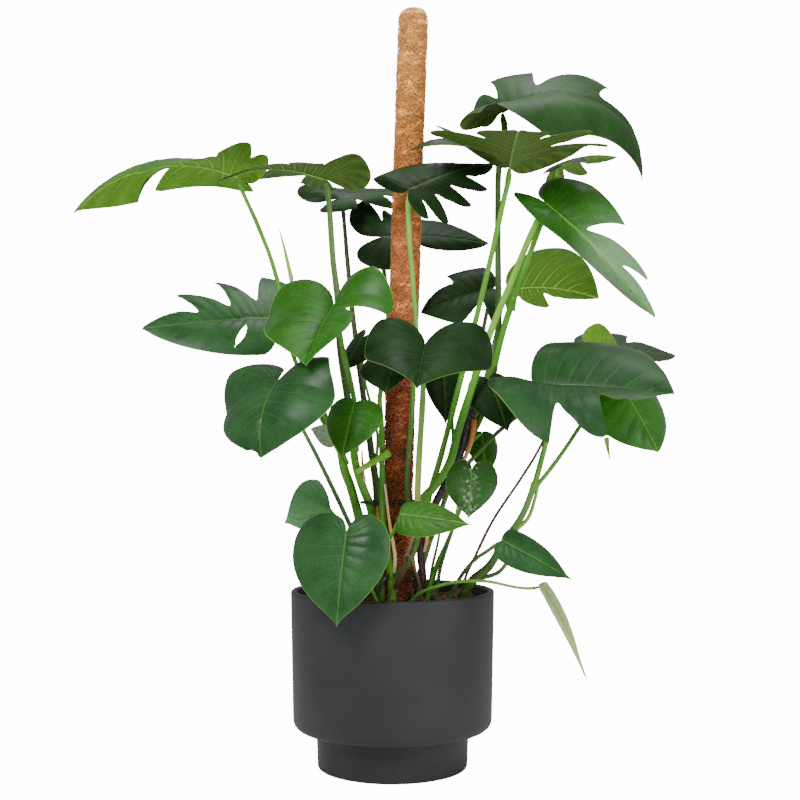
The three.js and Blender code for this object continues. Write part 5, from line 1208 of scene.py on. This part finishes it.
def soilHeight(x, y):
    # Gently domed down to the wall, with clods and crumbs.
    place = np.stack([x, y, np.zeros_like(x)], -1)
    return (soil["height"] - 0.00015 * (x * x + y * y) + 2.6 * waves(place, 46, 11)
            + 1.5 * waves(place, 15, 12) + 0.7 * waves(place, 6, 13))


def soilBody():
    # Top on a polar grid, a wall just inside the pot and a flat underside.
    r = np.linspace(2, soil["radius"], soil["rings"])
    turn = 2 * math.pi * np.arange(soil["sides"]) / soil["sides"]
    x, y = r[:, None] * np.cos(turn), r[:, None] * np.sin(turn)
    top = np.stack([x, y, soilHeight(x, y)], -1)
    low = []
    for radius, height in ((137, footTop + 24), (100.5, footTop + 11), (100.5, soil["floor"]),
                           (2, soil["floor"])):
        low.append(np.stack([radius * np.cos(turn), radius * np.sin(turn), np.full_like(turn, height)], -1))
    middle = soilHeight(np.zeros(1), np.zeros(1))[0]
    rings = np.concatenate([top, np.array(low)])
    return closedRings(rings, [0, 0, middle], [0, 0, soil["floor"]], flip=True)


def barkChips():
    # Flat broken flakes: a six-sided prism, its corners jittered, turned and laid on the soil.
    draw = np.random.default_rng(soil["seed"])
    count = soil["chips"]
    sides = 6
    r = (soil["radius"] - soil["chipMargin"]) * np.sqrt(draw.uniform(0.0, 1, count))
    turn = draw.uniform(0, 2 * math.pi, count)
    at = np.stack([r * np.cos(turn), r * np.sin(turn)], -1)
    size = draw.lognormal(*soil["chipSize"], count)
    angles = 2 * math.pi * np.arange(sides) / sides
    flat = np.stack([np.cos(angles) * 1.5, np.sin(angles)], -1)
    flat = flat * draw.uniform(0.65, 1.25, (count, sides, 1)) * size[:, None, None]
    tall = size[:, None] * draw.uniform(0.22, 0.5, (count, 1)) * np.ones(sides)
    low = np.concatenate([flat * 0.8, -tall[..., None]], -1)
    high = np.concatenate([flat, tall[..., None] * draw.uniform(0.5, 1.2, (count, sides, 1))], -1)
    local = np.concatenate([low, high], 1)
    spin = draw.uniform(0, 2 * math.pi, count)
    tilt, lean = (draw.normal(0, soil["chipTilt"], count) for _ in range(2))
    cosines, sines = np.cos([spin, tilt, lean]), np.sin([spin, tilt, lean])
    x, y, z = local[..., 0], local[..., 1], local[..., 2]
    y, z = y * cosines[1][:, None] - z * sines[1][:, None], y * sines[1][:, None] + z * cosines[1][:, None]
    x, z = x * cosines[2][:, None] + z * sines[2][:, None], z * cosines[2][:, None] - x * sines[2][:, None]
    x, y = x * cosines[0][:, None] - y * sines[0][:, None], x * sines[0][:, None] + y * cosines[0][:, None]
    ground = soilHeight(at[:, 0], at[:, 1]) + size * 0.15
    points = np.stack([x + at[:, :1], y + at[:, 1:], z + ground[:, None]], -1).reshape(-1, 3)
    walls = gridFaces(2, sides, wrap=True)
    start = (np.arange(count) * 2 * sides)[:, None, None]
    ends = np.stack([np.arange(sides)[::-1], sides + np.arange(sides)])
    corners = np.concatenate([(walls[None] + start).ravel(), (ends[None] + start).ravel()])
    counts = np.concatenate([np.full(count * sides, 4), np.full(count * 2, sides)])
    return points, corners, counts, np.repeat(draw.uniform(0.5, 1.7, count), 2 * sides)


def soilPaint(name, stops):
    # Bark potting soil: crumbs of composted bark of about 4 mm, red-brown, moist and matt.
    material, tree, shader = newMaterial(name, Roughness=0.82, IOR=1.5)
    here = addNode(tree, "TexCoord").outputs["Object"]
    crumb = addNode(tree, "TexNoise", inputs={"Vector": here, "Scale": 230.0, "Detail": 4.0})
    colour = addNode(tree, "ValToRGB", dict(stops=stops), {0: crumb})
    tone = addNode(tree, "Attribute", dict(attribute_name="tone"))
    final = addNode(tree, "HueSaturation", inputs={"Value": tone.outputs["Fac"], "Color": colour})
    tree.links.new(final.outputs[0], shader.inputs["Base Color"])
    bump = addNode(tree, "Bump", inputs={"Strength": 0.8, "Distance": 0.0015, "Height": crumb})
    tree.links.new(bump.outputs[0], shader.inputs["Normal"])
    return material


points, corners, counts = soilBody()
ground = soilPaint("moist bark soil", [(0.35, "#24150f"), (0.55, "#3b241b"), (0.75, "#573428")])
soilPiece = makePiece("soil_body", points, corners, counts, [ground], "soil",
                      tones=np.ones(len(points)), sharp=180)
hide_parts("soil")
chips = barkChips()
bark = soilPaint("composted bark chips", [(0.35, "#321b14"), (0.6, "#54302a"), (0.8, "#7a4b38")])
makePiece("soil_bark_chips", *chips[:3], [bark], "soil", tones=chips[3], sharp=20)
print("soil made")


# Studio: white paper floor and surround, and three soft lights

# paper: its colour, paperRadius in m; each light: name, place, aim and size in mm, and power in W.
studio = dict(paper="#f6f6f4", paperRadius=30, paperSides=96, surround=0.5, white=14.0, lights=[
    ("key light", (-900, -1700, 1900), (0, 0, 600), 900, 52),
    ("fill light", (1500, -1300, 900), (0, 0, 500), 900, 19),
    ("top light", (200, 300, 2600), (0, 0, 600), 1400, 35),
])


def whiteForViewer(tree, colour, strength):
    # A plain glow that only the viewer's own rays see, so that the paper looks white but lights nothing.
    rays = addNode(tree, "LightPath")
    seen = addNode(tree, "Math", dict(operation="MULTIPLY"),
                   {0: rays.outputs["Is Camera Ray"], 1: strength})
    return addNode(tree, "Emission", inputs={"Color": colour, "Strength": seen})


sides, radius = studio["paperSides"], studio["paperRadius"]
turn = 2 * math.pi * np.arange(sides) / sides
floorMesh = bpy.data.meshes.new("floor")
rim = [(radius * math.cos(v), radius * math.sin(v), 0) for v in turn]
floorMesh.from_pydata(rim, [], [list(range(sides))])
floor = bpy.data.objects.new("floor", floorMesh)
bpy.context.scene.collection.objects.link(floor)
paper, tree, shader = newMaterial("pale studio paper", Roughness=0.9)
shader.inputs["Base Color"].default_value = linear(studio["paper"])
glow = whiteForViewer(tree, (1, 1, 1, 1), studio["white"])
both = addNode(tree, "AddShader", inputs={0: shader, 1: glow})
tree.links.new(both.outputs[0], tree.nodes["Material Output"].inputs[0])
floorMesh.materials.append(paper)
world = bpy.data.worlds.new("white surround")
world.use_nodes = True
tree = world.node_tree
glow = whiteForViewer(tree, (1, 1, 1, 1), studio["white"])
tree.nodes["Background"].inputs[0].default_value = (1, 1, 1, 1)
tree.nodes["Background"].inputs[1].default_value = studio["surround"]
both = addNode(tree, "AddShader", inputs={0: tree.nodes["Background"].outputs[0], 1: glow})
tree.links.new(both.outputs[0], tree.nodes["World Output"].inputs[0])
bpy.context.scene.world = world
for name, at, aim, size, power in studio["lights"]:
    lamp = bpy.data.objects.new(name, bpy.data.lights.new(name, "AREA"))
    lamp.data.size = size * mm
    lamp.data.energy = power
    lamp.location = [v * mm for v in at]
    way = np.array(aim, float) - np.array(at, float)
    slope = math.atan2(math.hypot(way[0], way[1]), -way[2])
    lamp.rotation_euler = (slope, 0, math.atan2(way[1], way[0]) - math.pi / 2)
    bpy.context.scene.collection.objects.link(lamp)
print("studio lit")
